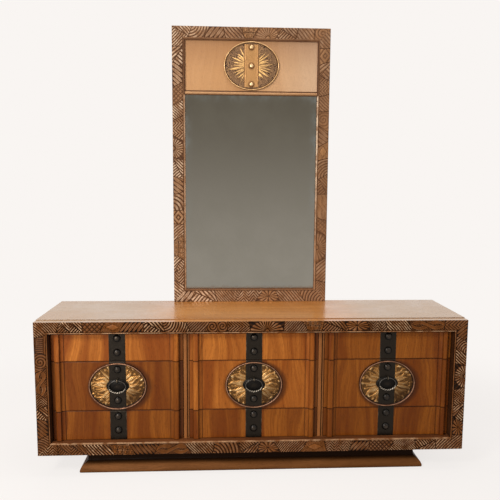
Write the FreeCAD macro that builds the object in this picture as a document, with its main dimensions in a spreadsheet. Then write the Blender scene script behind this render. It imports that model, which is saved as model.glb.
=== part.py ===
# Dresser with mirror: a low nine-drawer case in a carved frame on a flared plinth, and a tall
# mirror in a matching frame that stands on the back of its top.
#
# Millimetres, +Z up, +X to the viewer's right, +Y to the back. The origin is on the floor, in the
# middle of the width and of the whole depth. "Front" faces -Y.
import FreeCAD, Part
import math
import os
import re
import Sketcher
from FreeCAD import Placement, Rotation, Vector

doc = FreeCAD.newDocument("dresser_with_mirror")

# ---------------------------------------------------------------- driving dimensions
SIZES = [
    # the case
    ("case_width", 1980, "over the two stiles of the carved frame"),
    ("case_depth", 457, "from the carved face to the case's back"),
    ("side_thickness", 22, "end boards"),
    ("top_thickness", 22, "top board"),
    ("bottom_thickness", 22, "bottom board"),
    ("back_thickness", 12, "back board, set in between the ends"),
    ("frame_thickness", 45, "carved frame, front to back"),
    ("stile_width", 62, "upright members of the carved frame"),
    ("top_rail_width", 56, "upper member of the carved frame"),
    ("bottom_rail_width", 59, "lower member of the carved frame"),
    ("top_reveal", 3, "how far the frame stops below the top's upper face"),
    ("partition_thickness", 25, "boards between the three stacks of drawers"),
    ("partition_recess", 1, "from the drawers' margins back to a partition's front edge"),
    ("dust_thickness", 15, "boards that each drawer runs on"),
    ("guide_height", 20, "strips beside the outer drawers, behind the stiles"),
    # the rows of drawers
    ("bottom_row_height", 140, "from the frame to the lower seam"),
    ("middle_row_height", 234, "from the lower seam to the upper one"),
    ("top_row_height", 135, "from the upper seam to the frame"),
    ("front_gap", 2, "around each drawer front"),
    # the plan of a drawer front
    ("crest_setback", 20, "from the carved face to the bands of a drawer front"),
    ("front_thickness", 38, "through a band"),
    ("margin_width", 19, "flat outside each band"),
    ("margin_drop", 17, "from the bands back to the margins"),
    ("band_width", 34, "each upright band"),
    ("band_round", 7, "quarter round on a band's outer edge"),
    ("quirk_depth", 4, "step between a band and its cove"),
    ("cove_width", 18, "hollow moulding inside each band"),
    ("cove_lip", 2, "last step down to the field"),
    ("field_drop", 15, "from the bands back to the field"),
    # the drawer boxes
    ("box_clearance", 2.5, "beside each box"),
    ("box_headroom", 5, "above each box"),
    ("box_rear_clearance", 10, "behind each box"),
    ("run_clearance", 0.3, "between a drawer and the board that it runs on or stops against"),
    ("box_wall", 12, "sides and back of a box"),
    ("box_floor", 6, "bottom of a box"),
    ("box_floor_lift", 10, "from the lower edge of a side up to the bottom"),
    # the iron straps
    ("strap_width", 75, "iron strap"),
    ("strap_thickness", 3, "iron strap"),
    ("stud_width", 36, "dome nail across"),
    ("stud_height", 11, "dome nail, from the strap"),
    ("stud_margin", 26, "upper nail from the top of the upper and lower rows"),
    ("stud_pitch", 67, "between the two nails of those rows"),
    ("stud_rim_gap", 4, "between a medallion's rim and the upper nail inside it"),
    # the oval medallions
    ("medallion_spread", 43, "how much wider than high a medallion is"),
    ("medallion_margin", 6, "from the rim to the seams above and below it"),
    ("inlay_depth", 4, "carved oval plate, let into the drawer front"),
    ("inlay_clearance", 0.2, "around the plate"),
    ("rim_width", 10, "rim, seen from the front"),
    ("rim_height", 9, "rim, from the field"),
    ("rim_round", 4, "rounding along both front edges of a rim"),
    ("notch_clearance", 0.5, "between a rim and the strap under it"),
    # the ring pulls
    ("pull_width", 84, "oval ring, over the wire"),
    ("pull_height", 64, "oval ring, over the wire"),
    ("pull_wire", 7, "diameter of the ring's wire"),
    ("pull_clearance", 2.5, "between the ring and the middle of the plate behind it"),
    ("pull_lift", 1, "ring's centre above the medallion's"),
    ("boss_width", 104, "domed plate behind the ring"),
    ("boss_height", 66, "domed plate behind the ring"),
    ("boss_rise", 8, "domed plate, from the strap"),
    ("eye_wire", 4.4, "diameter of the staple's wire"),
    ("eye_clearance", 0.3, "between the staple and the ring in it"),
    # the plinth
    ("plinth_height", 105, "from the floor to the case"),
    ("plinth_side_inset", 212, "from the case's ends to the plinth's, at the top"),
    ("plinth_front_inset", 70, "from the carved face to the plinth's, at the top"),
    ("plinth_back_inset", 20, "from the case's back to the plinth's"),
    ("plinth_thickness", 20, "plinth boards at the top"),
    ("plinth_flare", 34, "how far the foot stands out past the top"),
    ("plinth_nose", 16, "half-round edge of the foot"),
    ("plinth_hollow", 6.5, "depth of the hollow below its chord"),
    # the mirror
    ("mirror_width", 800, "over the stiles"),
    ("mirror_height", 1400, "over the rails"),
    ("mirror_thickness", 30, "frame, front to back"),
    ("mirror_stile_width", 64, "upright members"),
    ("mirror_top_rail_width", 65, "upper member"),
    ("mirror_bottom_rail_width", 70, "lower member"),
    ("lip_thickness", 12, "front part of the frame, in front of the glass"),
    ("rebate_width", 10, "how far the glass is lapped"),
    ("pane_clearance", 1, "around the glass and the panel in their rebates"),
    ("pane_thickness", 5, "glass, and the header panel above it"),
    ("backing_thickness", 8, "board behind the glass and the panel"),
    ("cross_rail_height", 23, "rail between the glass and the panel"),
    ("cross_rail_setback", 2, "behind the frame's face"),
    ("header_height", 247, "panel between the cross rail and the top rail"),
    # the header medallion
    ("header_oval_spread", 40, "how much wider than high the oval is"),
    ("header_oval_margin", 3.5, "from the rim to the rails above and below it"),
    ("header_plate", 4, "oval plate on the panel"),
    ("header_rim_height", 9, "rim, from the panel"),
    ("header_strap_width", 73, "strap across the plate"),
    ("header_strap_clearance", 1, "from the strap's corners to the inside of the rim"),
    ("header_strap_thickness", 2.5, "strap across the plate"),
    ("header_stud_width", 26, "dome nail across"),
    ("header_stud_height", 8, "dome nail, from the strap"),
    ("header_stud_margin", 13.5, "from the strap's ends to the middle of its outer nails"),
    # the supports behind the mirror
    ("support_width", 60, "wooden supports"),
    ("support_thickness", 19, "wooden supports"),
    ("support_drop", 320, "from the top down the case's back"),
    ("support_margin", 220, "from the mirror's top down to the supports' ends"),
    ("screw_length", 28, "countersunk screws"),
    ("screw_diameter", 5, "countersunk screws"),
    ("screw_head", 10, "countersunk screws"),
    ("screw_taper", 3, "depth of the countersink"),
    ("screw_margin", 70, "from a support's ends, and from the case's top, to its screws"),
    ("screw_clearance", 0.1, "around the screws"),
]

# ---------------------------------------------------------------- places worked out from them
PLACES = [
    ("half_width", "case_width / 2"),
    ("case_front", "-(case_depth + support_thickness) / 2"),
    ("case_rear", "case_front + case_depth"),
    ("case_low", "plinth_height"),
    ("opening_low", "case_low + bottom_rail_width"),
    ("lower_seam", "opening_low + bottom_row_height"),
    ("upper_seam", "lower_seam + middle_row_height"),
    ("opening_high", "upper_seam + top_row_height"),
    ("frame_high", "opening_high + top_rail_width"),
    ("case_high", "frame_high + top_reveal"),
    ("frame_rear", "case_front + frame_thickness"),
    ("opening_half", "half_width - stile_width"),
    ("side_inner", "half_width - side_thickness"),
    ("inside_low", "case_low + bottom_thickness"),
    ("inside_high", "case_high - top_thickness"),
    ("inside_rear", "case_rear - back_thickness"),
    ("bay_width", "(2 * opening_half - 2 * partition_thickness) / 3"),
    ("bay_pitch", "bay_width + partition_thickness"),
    ("bay_half", "bay_width / 2"),
    ("partition_outer", "bay_half + partition_thickness"),
    ("front_half", "bay_half - front_gap"),
    ("front_rear", "case_front + crest_setback + front_thickness"),
    ("field_face", "case_front + crest_setback + field_drop"),
    ("dust_half", "dust_thickness / 2"),
    ("board_front", "front_rear + run_clearance"),
    ("box_half", "bay_half - box_clearance"),
    ("box_inner", "box_half - box_wall"),
    ("box_rear", "inside_rear - box_rear_clearance"),
    ("strap_half", "strap_width / 2"),
    ("strap_face", "field_face - strap_thickness"),
    ("oval_centre", "(lower_seam + upper_seam) / 2"),
    ("oval_half_height", "middle_row_height / 2 - medallion_margin"),
    ("oval_half_width", "oval_half_height + medallion_spread / 2"),
    ("oval_clear_height", "oval_half_height - rim_width"),
    ("upper_stud_rise", "oval_clear_height - stud_rim_gap - stud_width / 2"),
    ("lower_stud_fall", "(oval_clear_height + boss_height / 2) / 2"),
    ("pull_centre", "oval_centre + pull_lift"),
    ("pull_standoff", "boss_rise + pull_clearance + pull_wire / 2"),
    ("pull_plane", "strap_face - pull_standoff"),
    ("pull_half_width", "(pull_width - pull_wire) / 2"),
    ("pull_half_height", "(pull_height - pull_wire) / 2"),
    ("pull_pivot", "pull_centre + pull_half_height"),
    ("eye_radius", "(pull_wire + eye_wire) / 2 + eye_clearance"),
    ("plinth_half", "half_width - plinth_side_inset"),
    ("plinth_front", "case_front + plinth_front_inset"),
    ("plinth_rear", "case_rear - plinth_back_inset"),
    ("nose_half", "plinth_nose / 2"),
    ("nose_start", "plinth_flare - nose_half"),
    ("mirror_half", "mirror_width / 2"),
    ("mirror_front", "case_rear - mirror_thickness"),
    ("mirror_high", "case_high + mirror_height"),
    ("sight_half", "mirror_half - mirror_stile_width"),
    ("sight_low", "case_high + mirror_bottom_rail_width"),
    ("sight_high", "mirror_high - mirror_top_rail_width"),
    ("rebate_half", "sight_half + rebate_width"),
    ("rebate_low", "sight_low - rebate_width"),
    ("rebate_high", "sight_high + rebate_width"),
    ("pane_half", "rebate_half - pane_clearance"),
    ("pane_low", "rebate_low + pane_clearance"),
    ("pane_high", "rebate_high - pane_clearance"),
    ("pane_face", "mirror_front + lip_thickness"),
    ("pane_rear", "pane_face + pane_thickness"),
    ("header_low", "sight_high - header_height"),
    ("pane_joint", "header_low - cross_rail_height / 2"),
    ("header_centre", "header_low + header_height / 2"),
    ("header_half_height", "header_height / 2 - header_oval_margin"),
    ("header_half_width", "header_half_height + header_oval_spread / 2"),
    ("header_plate_half_width", "header_half_width - rim_width"),
    ("header_plate_half_height", "header_half_height - rim_width"),
    ("header_strap_half", "header_strap_width / 2"),
    ("header_strap_share", "header_strap_half / header_plate_half_width"),
    ("header_strap_corner", "header_plate_half_height * sqrt(1 - header_strap_share^2)"),
    ("header_strap_reach", "header_strap_corner - header_strap_clearance"),
    ("header_stud_pitch", "header_strap_reach - header_stud_margin"),
    ("header_strap_rear", "pane_face - header_plate"),
    ("header_strap_face", "header_strap_rear - header_strap_thickness"),
    ("support_centre", "mirror_half - mirror_stile_width / 2"),
    ("support_rear", "case_rear + support_thickness"),
    ("support_low", "case_high - support_drop"),
    ("support_high", "mirror_high - support_margin"),
]


def spread_sheet(name, rows):
    """A sheet with one named cell per row: plain numbers as they are, formulas after an equals sign."""
    sheet = doc.addObject("Spreadsheet::Sheet", name)
    for number, (alias, content, note) in enumerate(rows, start=1):
        sheet.set(f"A{number}", alias)
        sheet.set(f"B{number}", str(content))
        sheet.setAlias(f"B{number}", alias)
        sheet.set(f"C{number}", note)
    doc.recompute()
    return sheet


SHEET_OF = {row[0]: "Sizes" for row in SIZES} | {row[0]: "Places" for row in PLACES}


def full(text):
    """An expression with each size or place named by its sheet."""
    return re.sub(r"[a-z]+(?:_[a-z]+)+", lambda word: f"{SHEET_OF[word.group()]}.{word.group()}", text)


sizes = spread_sheet("Sizes", SIZES)
spread_sheet("Places", [(alias, "=" + full(formula), "") for alias, formula in PLACES])


def value(text):
    """What an expression comes to now, in millimetres."""
    return float(sizes.evalExpression(full(text)))


# ---------------------------------------------------------------- ways of making a piece
def bind(thing, **expressions):
    """Ties properties of an object to the sheets."""
    for name, text in expressions.items():
        thing.setExpression(name, full(text))
    return thing


def place(thing, x, y, z, turn=None):
    """Puts an object's origin at three expressions, turned by a fixed rotation."""
    thing.Placement = Placement(Vector(), turn or Rotation())
    for axis, text in zip("xyz", (x, y, z)):
        thing.setExpression(f"Placement.Base.{axis}", full(text))
    return thing


FORWARD = Rotation(Vector(1, 0, 0), 90)  # turns +Z to the front
BACKWARD = Rotation(Vector(1, 0, 0), -90)  # turns +Z to the back
EDGEWISE = Rotation(Vector(1, 0, 1), 180)  # stands a flat ring on edge, its first half to the front


def board(label, x, y, z):
    """A plain board, given by where its faces lie along each axis."""
    box = doc.addObject("Part::Box", label)
    for size, (low, high) in zip(("Length", "Width", "Height"), (x, y, z)):
        box.setExpression(size, full(f"({high}) - ({low})"))
    return place(box, x[0], y[0], z[0])


def dome(label, x, y, z, width, height):
    """A dome nail's head: a cap of a sphere, flat at y and rounded to the front."""
    radius = f"(({width})^2 / 4 + ({height})^2) / (2 * {height})"
    head = doc.addObject("Part::Sphere", label)
    bind(head, Radius=radius, Angle1=f"asin(1 - {height} / ({radius}))")
    return place(head, x, f"{y} + {radius} - {height}", z, FORWARD)


def oval(label, x, y, z, half_width, half_height, depth):
    """A plate with an oval outline, standing out to the front from y by depth."""
    edge = doc.addObject("Part::Ellipse", label + "_edge")
    bind(edge, MajorRadius=half_width, MinorRadius=half_height)
    place(edge, x, y, z, FORWARD)
    plate = doc.addObject("Part::Extrusion", label)
    plate.Base = edge
    plate.DirMode = "Custom"
    plate.Dir = Vector(0, -1, 0)
    plate.Solid = True
    return bind(plate, LengthFwd=depth)


def cut(label, base, tool):
    """One shape less another."""
    result = doc.addObject("Part::Cut", label)
    result.Base = base
    result.Tool = tool
    return result


def common(label, base, tool):
    """What two shapes share."""
    result = doc.addObject("Part::Common", label)
    result.Base = base
    result.Tool = tool
    return result


def fuse(label, shapes):
    """Shapes made one piece."""
    result = doc.addObject("Part::MultiFuse", label)
    result.Shapes = shapes
    return result


def group(label, pieces):
    """Separate pieces kept under one name."""
    result = doc.addObject("Part::Compound", label)
    result.Links = pieces
    return result


def rounded(label, base, radius, edges):
    """Rounds the edges that a test picks, by no more than the radius."""
    doc.recompute()
    fillet = doc.addObject("Part::Fillet", label)
    fillet.Base = base
    fillet.Edges = [(number, radius, radius)
                    for number, edge in enumerate(base.Shape.Edges, start=1) if edges(edge)]
    return fillet


def body(label, x, y, z):
    """An empty PartDesign body at a place."""
    return place(doc.addObject("PartDesign::Body", label), x, y, z)


def arc_between(start, bend, end):
    """The counter-clockwise arc through three points, and whether it runs from start to end."""
    (ax, ay), (bx, by), (cx, cy) = start, bend, end
    twice_area = (bx - ax) * (cy - by) - (by - ay) * (cx - bx)
    middle = Part.Circle(Vector(ax, ay, 0), Vector(bx, by, 0), Vector(cx, cy, 0)).Center
    radius = math.hypot(ax - middle.x, ay - middle.y)
    first, last = (start, end) if twice_area > 0 else (end, start)
    angles = [math.atan2(point[1] - middle.y, point[0] - middle.x) for point in (first, last)]
    circle = Part.Circle(middle, Vector(0, 0, 1), radius)
    return Part.ArcOfCircle(circle, *angles), twice_area > 0


def pin_point(sketch, geometry, vertex, point):
    """Holds a point of a sketch at two expressions, measured from the sketch's origin."""
    for kind, text in zip(("DistanceX", "DistanceY"), point):
        number = sketch.addConstraint(Sketcher.Constraint(kind, -1, 1, geometry, vertex, value(text)))
        sketch.setExpression(f"Constraints[{number}]", full(text))


def outline(owner, plane, points):
    """A closed sketch on an origin plane of its body. A point is a pair of expressions, and a third
    item, "bend", marks one that an arc between its neighbours passes through."""
    sketch = owner.newObject("Sketcher::SketchObject", owner.Label + "_outline")
    origin_plane = next(item for item in owner.Origin.OriginFeatures if item.Role == plane)
    sketch.AttachmentSupport = [(origin_plane, "")]
    sketch.MapMode = "FlatFace"
    corners = [number for number, point in enumerate(points) if len(point) == 2]
    sides = []
    for number, following in zip(corners, corners[1:] + corners[:1]):
        start, end = [tuple(map(value, points[index])) for index in (number, following)]
        if (number + 1) % len(points) == following:
            geometry = sketch.addGeometry(Part.LineSegment(Vector(*start, 0), Vector(*end, 0)), False)
            sides.append((geometry, 1, 2))
            continue
        bend = points[number + 1][:2]
        arc, forwards = arc_between(start, tuple(map(value, bend)), end)
        geometry = sketch.addGeometry(arc, False)
        sides.append((geometry, 1, 2) if forwards else (geometry, 2, 1))
        marker = sketch.addGeometry(Part.Point(Vector(*map(value, bend), 0)), True)
        pin_point(sketch, marker, 1, bend)
        sketch.addConstraint(Sketcher.Constraint("PointOnObject", marker, 1, geometry))
    for number, side, following in zip(corners, sides, sides[1:] + sides[:1]):
        (geometry, first, last), (next_geometry, next_first, _) = side, following
        sketch.addConstraint(Sketcher.Constraint("Coincident", geometry, last, next_geometry, next_first))
        pin_point(sketch, geometry, first, points[number])
    return sketch


def pad(owner, sketch, length, reverse=False):
    """Pads a sketch along its plane's normal, or against it."""
    feature = owner.newObject("PartDesign::Pad", sketch.Label + "_pad")
    feature.Profile = sketch
    feature.Reversed = reverse
    return bind(feature, Length=length)


def both_sides(half):
    """A symmetric outline: its right half, then the same points mirrored in reverse order."""
    return half + [(f"-({point[0]})",) + point[1:] for point in reversed(half)]


def mitred(outer, inner):
    """The outlines, in x and z, of four members that meet on mitres between two rectangles, each
    given as its half width, its low edge and its high edge."""
    (wide, low, high), (narrow, sill, head) = outer, inner
    return {
        "top_rail": [(f"-{wide}", high), (wide, high), (narrow, head), (f"-{narrow}", head)],
        "bottom_rail": [(f"-{wide}", low), (wide, low), (narrow, sill), (f"-{narrow}", sill)],
        "left_stile": [
            (f"-{wide}", low), (f"-{wide}", high), (f"-{narrow}", head), (f"-{narrow}", sill)],
        "right_stile": [(wide, low), (wide, high), (narrow, head), (narrow, sill)],
    }


# ---------------------------------------------------------------- plinth
# The front and the two ends share one moulding: a rounded foot that sweeps up in a hollow.
# Each is the moulding's full run, kept only inside its own mitred plan.
def moulding(outward):
    """The plinth's section. The outward expression turns a distance from its upper face into x or y."""
    return [
        (outward("-plinth_thickness"), "0"),
        (outward("nose_start"), "0"),
        (outward("plinth_flare"), "nose_half", "bend"),
        (outward("nose_start"), "plinth_nose"),
        (outward("nose_start / 2 - plinth_hollow"), "(plinth_nose + plinth_height) / 2", "bend"),
        (outward("0"), "plinth_height"),
        (outward("-plinth_thickness"), "plinth_height"),
    ]


def plan_block(label, points):
    """A block as tall as the plinth with the given plan."""
    block = body(label, "0", "0", "0")
    pad(block, outline(block, "XY_Plane", points), "plinth_height")
    return block


front_run = body("plinth_front_run", "-plinth_half - plinth_flare", "plinth_front", "0")
front_section = outline(front_run, "YZ_Plane", moulding(lambda far: f"-({far})"))
pad(front_run, front_section, "2 * (plinth_half + plinth_flare)")
front_plan = plan_block("plinth_front_plan", both_sides([
    ("plinth_half - plinth_thickness", "plinth_front + plinth_thickness"),
    ("plinth_half + plinth_flare", "plinth_front - plinth_flare"),
]))
common("plinth_front_board", front_run, front_plan)

end_run = body("plinth_end_run", "plinth_half", "plinth_rear", "0")
end_section = outline(end_run, "XZ_Plane", moulding(lambda far: far))
pad(end_run, end_section, "plinth_rear - plinth_front + plinth_flare")
end_plan = plan_block("plinth_end_plan", [
    ("plinth_half - plinth_thickness", "plinth_front + plinth_thickness"),
    ("plinth_half + plinth_flare", "plinth_front - plinth_flare"),
    ("plinth_half + plinth_flare", "plinth_rear"),
    ("plinth_half - plinth_thickness", "plinth_rear"),
])
right_end = common("plinth_right_end", end_run, end_plan)
left_end = doc.addObject("Part::Mirroring", "plinth_left_end")
left_end.Source = right_end
left_end.Normal = Vector(1, 0, 0)
group("plinth_ends", [left_end, right_end])

board("plinth_back_board",
      x=("-(plinth_half - plinth_thickness)", "plinth_half - plinth_thickness"),
      y=("plinth_rear - plinth_thickness", "plinth_rear"),
      z=("0", "plinth_height"))

# ---------------------------------------------------------------- case
FULL_WIDTH = ("-half_width", "half_width")
BETWEEN_ENDS = ("-side_inner", "side_inner")
BEHIND_FRAME = ("frame_rear", "case_rear")

board("case_bottom", x=BETWEEN_ENDS, y=BEHIND_FRAME, z=("case_low", "inside_low"))
board("case_top", x=FULL_WIDTH, y=BEHIND_FRAME, z=("inside_high", "case_high"))
board("case_left_side", x=("-half_width", "-side_inner"), y=BEHIND_FRAME, z=("case_low", "inside_high"))
board("case_right_side", x=("side_inner", "half_width"), y=BEHIND_FRAME, z=("case_low", "inside_high"))

# Each partition runs from the case's bottom to its top, with a tongue that fills the height of the
# frame's opening and shows between the drawer fronts.
partitions = []
for side, low in (("left", "-partition_outer"), ("right", "bay_half")):
    partition = body(f"partition_{side}", low, "0", "0")
    tongue = "case_front + crest_setback + margin_drop + partition_recess"
    pad(partition, outline(partition, "YZ_Plane", [
        ("frame_rear", "inside_low"),
        ("inside_rear", "inside_low"),
        ("inside_rear", "inside_high"),
        ("frame_rear", "inside_high"),
        ("frame_rear", "opening_high"),
        (tongue, "opening_high"),
        (tongue, "opening_low"),
        ("frame_rear", "opening_low"),
    ]), "partition_thickness")
    partitions.append(partition)
group("partitions", partitions)

# The carved frame: four mitred members in front of the boards.
case_frame = mitred(outer=("half_width", "case_low", "frame_high"),
                    inner=("opening_half", "opening_low", "opening_high"))
for member, points in case_frame.items():
    piece = body(f"frame_{member}", "0", "frame_rear", "0")
    pad(piece, outline(piece, "XZ_Plane", points), "frame_thickness")

# ---------------------------------------------------------------- what the drawers run on
# A dust board lies behind every seam, also the first and the last: each drawer runs on one, is kept
# from tipping by the next, and its front stops against the edges of both.
BAYS = {"left": "-bay_pitch", "centre": "0", "right": "bay_pitch"}
BAY_WALLS = {
    "left": ("-side_inner", "-partition_outer"),
    "centre": ("-bay_half", "bay_half"),
    "right": ("partition_outer", "side_inner"),
}
SEAMS = ("opening_low", "lower_seam", "upper_seam", "opening_high")
ROWS = {"bottom": SEAMS[0:2], "middle": SEAMS[1:3], "top": SEAMS[2:4]}

group("dust_boards", [
    board(f"dust_board_{bay}_{level}", x=walls, y=("board_front", "inside_rear"),
          z=(f"{seam} - dust_half", f"{seam} + dust_half"))
    for bay, walls in BAY_WALLS.items() for level, seam in enumerate(SEAMS)
])

# The outer bays are wider than their drawers by the part of the stile that overhangs them.
GUIDE_WALLS = {"left": ("-side_inner", "-opening_half"), "right": ("opening_half", "side_inner")}
group("drawer_guides", [
    board(f"drawer_guide_{side}_{row}", x=walls, y=("frame_rear", "inside_rear"),
          z=(f"{low} + dust_half", f"{low} + dust_half + guide_height"))
    for side, walls in GUIDE_WALLS.items() for row, (low, high) in ROWS.items()
])


# ---------------------------------------------------------------- drawers
# The plan of a front, from its outer end inwards: a flat margin, a proud band with one rounded
# edge, a quirk, a cove with a small lip, and the flat field in the middle.
BAND_OUT = "front_half - margin_width"
BAND_IN = "front_half - margin_width - band_width"
COVE_IN = "front_half - margin_width - band_width - cove_width"
COVE_TOP = "crest_setback + quirk_depth"
COVE_FOOT = "crest_setback + field_drop - cove_lip"
COVE_DROP = f"({COVE_FOOT} - ({COVE_TOP}))"
SOFTEN = "(1 - sqrt(0.5))"  # where the middle of a quarter circle lies between its ends

FRONT_HALF_PLAN = [
    ("front_half", "crest_setback + front_thickness"),
    ("front_half", "crest_setback + margin_drop"),
    (BAND_OUT, "crest_setback + margin_drop"),
    (BAND_OUT, "crest_setback + band_round"),
    (f"{BAND_OUT} - band_round * {SOFTEN}", f"crest_setback + band_round * {SOFTEN}", "bend"),
    (f"{BAND_OUT} - band_round", "crest_setback"),
    (BAND_IN, "crest_setback"),
    (BAND_IN, COVE_TOP),
    (f"{BAND_IN} - cove_width * {SOFTEN}", f"{COVE_FOOT} - {COVE_DROP} * {SOFTEN}", "bend"),
    (COVE_IN, COVE_FOOT),
    (COVE_IN, "crest_setback + field_drop"),
]


def drawer_front(label, bay, low, high):
    """A solid front with the same section from its lower to its upper edge."""
    front = body(label, bay, "case_front", f"{low} + front_gap / 2")
    pad(front, outline(front, "XY_Plane", both_sides(FRONT_HALF_PLAN)), f"{high} - ({low}) - front_gap")
    return front


def drawer_box(label, bay, low, high):
    """Two sides, a back and a bottom; the front closes it."""
    base = f"{low} + dust_half + run_clearance"
    height = (base, f"{high} - dust_half - box_headroom")
    floor = (f"{base} + box_floor_lift", f"{base} + box_floor_lift + box_floor")
    depth = ("front_rear", "box_rear")
    inner = (f"{bay} - box_inner", f"{bay} + box_inner")
    return group(label, [
        board(label + "_left", x=(f"{bay} - box_half", inner[0]), y=depth, z=height),
        board(label + "_right", x=(inner[1], f"{bay} + box_half"), y=depth, z=height),
        board(label + "_back", x=inner, y=("box_rear - box_wall", "box_rear"), z=height),
        board(label + "_bottom", x=inner, y=("front_rear", "box_rear - box_wall"), z=floor),
    ])


def strap_across(label, bay, low, high):
    """The stretch of iron strap on one front, cut at its seams."""
    return board(label, x=(f"{bay} - strap_half", f"{bay} + strap_half"), y=("strap_face", "field_face"),
                 z=(f"{low} + front_gap / 2", f"{high} - front_gap / 2"))


def stud(label, bay, height):
    """A dome nail on the strap."""
    return dome(label, bay, "strap_face", height, "stud_width", "stud_height")


for bay, centre in BAYS.items():
    for row, (low, high) in ROWS.items():
        name = f"{row}_drawer_{bay}"
        drawer_box(name + "_box", centre, low, high)
        if row == "middle":
            continue
        drawer_front(name + "_front", centre, low, high)
        upper = f"{high} - stud_margin"
        group(name + "_strap", [
            strap_across(name + "_iron", centre, low, high),
            stud(name + "_stud_1", centre, upper),
            stud(name + "_stud_2", centre, f"{upper} - stud_pitch"),
        ])


# ---------------------------------------------------------------- medallions and ring pulls
def rim(label, x, y, z, half_width, half_height, height):
    """An oval rim with its two front edges rounded."""
    outer = oval(label + "_outer", x, y, z, half_width, half_height, height)
    inner = oval(label + "_inner", x, y, z,
                 f"{half_width} - rim_width", f"{half_height} - rim_width", height)
    ring = cut(label + "_square", outer, inner)
    radius = min(value("rim_round"), 0.45 * value("rim_width"), 0.9 * value(height))
    front = value(y) - value(height)
    near = 0.01
    return rounded(label, ring, radius, lambda edge: abs(edge.CenterOfMass.y - front) < near)


def staple(label, x):
    """The wire staple that holds a ring: half a circle round the pivot, and two legs to the strap."""
    arch = doc.addObject("Part::Torus", label + "_arch")
    arch.Angle3 = 180
    bind(arch, Radius1="eye_radius", Radius2="eye_wire / 2")
    place(arch, x, "pull_plane", "pull_pivot", EDGEWISE)
    legs = []
    for number, side in enumerate(("+", "-"), start=1):
        leg = doc.addObject("Part::Cylinder", f"{label}_leg_{number}")
        bind(leg, Radius="eye_wire / 2", Height="pull_standoff")
        legs.append(place(leg, x, "pull_plane", f"pull_pivot {side} eye_radius", BACKWARD))
    return [arch] + legs


def boss(label, x):
    """The domed oval plate behind a ring: the front half of an ellipsoid, flat on the strap."""
    half = doc.addObject("Part::Ellipsoid", label)
    half.Angle1 = 0
    bind(half, Radius1="boss_rise", Radius2="boss_width / 2", Radius3="boss_height / 2")
    return place(half, x, "strap_face", "oval_centre", FORWARD)


def ring_pull(label, x):
    """An oval ring of round wire, hanging in the plane of its staple."""
    spine = doc.addObject("Part::Ellipse", label + "_spine")
    bind(spine, MajorRadius="pull_half_width", MinorRadius="pull_half_height")
    place(spine, x, "pull_plane", "pull_centre", FORWARD)
    wire = doc.addObject("Part::Circle", label + "_wire")
    bind(wire, Radius="pull_wire / 2")
    place(wire, f"{x} + pull_half_width", "pull_plane", "pull_centre")
    ring = doc.addObject("Part::Sweep", label)
    ring.Sections = [wire]
    ring.Spine = (spine, ["Edge1"])
    ring.Solid = True
    ring.Frenet = True
    return ring


for bay, centre in BAYS.items():
    low, high = ROWS["middle"]
    name = f"middle_drawer_{bay}"
    blank = drawer_front(name + "_blank", centre, low, high)
    recess = oval(name + "_recess", centre, "field_face + inlay_depth", "oval_centre",
                  "oval_half_width - rim_width / 2 + inlay_clearance",
                  "oval_half_height - rim_width / 2 + inlay_clearance", "inlay_depth")
    cut(name + "_front", blank, recess)
    plate = oval(f"medallion_{bay}_plate", centre, "field_face + inlay_depth", "oval_centre",
                 "oval_half_width - rim_width / 2", "oval_half_height - rim_width / 2", "inlay_depth")
    whole_rim = rim(f"medallion_{bay}_whole_rim", centre, "field_face", "oval_centre",
                    "oval_half_width", "oval_half_height", "rim_height")
    notch_half = "strap_half + notch_clearance"
    strap_way = board(f"medallion_{bay}_strap_way",
                      x=(f"{centre} - ({notch_half})", f"{centre} + ({notch_half})"),
                      y=("strap_face", "field_face"),
                      z=("oval_centre - oval_half_height", "oval_centre + oval_half_height"))
    group(f"medallion_{bay}", [plate, cut(f"medallion_{bay}_rim", whole_rim, strap_way)])
    pull_plate = fuse(name + "_pull_plate",
                      [boss(name + "_boss", centre)] + staple(name + "_staple", centre))
    group(name + "_strap", [
        strap_across(name + "_iron", centre, low, high),
        stud(name + "_stud_1", centre, "oval_centre + upper_stud_rise"),
        stud(name + "_stud_2", centre, "oval_centre - lower_stud_fall"),
        pull_plate,
    ])
    ring_pull(f"ring_pull_{bay}", centre)


# ---------------------------------------------------------------- fastenings of the mirror
def screw_form(label, x, z, clearance):
    """A countersunk screw that points forwards from the supports' back, or the hole it needs."""
    head = doc.addObject("Part::Cone", label + "_head")
    bind(head, Radius1=f"screw_head / 2 + {clearance}", Radius2=f"screw_diameter / 2 + {clearance}",
         Height="screw_taper")
    shank = doc.addObject("Part::Cylinder", label + "_shank")
    bind(shank, Radius=f"screw_diameter / 2 + {clearance}", Height=f"screw_length + {clearance}")
    return fuse(label, [place(part, x, "support_rear", z, FORWARD) for part in (head, shank)])


SCREW_SIDES = {"left": "-support_centre", "right": "support_centre"}
SCREW_HEIGHTS = {
    "case_low": "support_low + screw_margin",
    "case_high": "case_high - screw_margin",
    "mirror_low": "sight_low + screw_margin",
    "mirror_high": "support_high - screw_margin",
}
screw_holes = {
    (side, where): screw_form(f"screw_hole_{side}_{where}", x, z, "screw_clearance")
    for side, x in SCREW_SIDES.items() for where, z in SCREW_HEIGHTS.items()
}
group("support_screws", [
    screw_form(f"screw_{side}_{where}", x, z, "0")
    for side, x in SCREW_SIDES.items() for where, z in SCREW_HEIGHTS.items()
])


def bored(label, blank, side, places):
    """A blank with the screw holes that one side has at the named places."""
    return cut(label, blank, group(label + "_holes", [screw_holes[side, where] for where in places]))


group("mirror_supports", [
    bored(f"mirror_support_{side}",
          board(f"mirror_support_{side}_blank",
                x=(f"{x} - support_width / 2", f"{x} + support_width / 2"),
                y=("case_rear", "support_rear"), z=("support_low", "support_high")),
          side, SCREW_HEIGHTS)
    for side, x in SCREW_SIDES.items()
])

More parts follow.
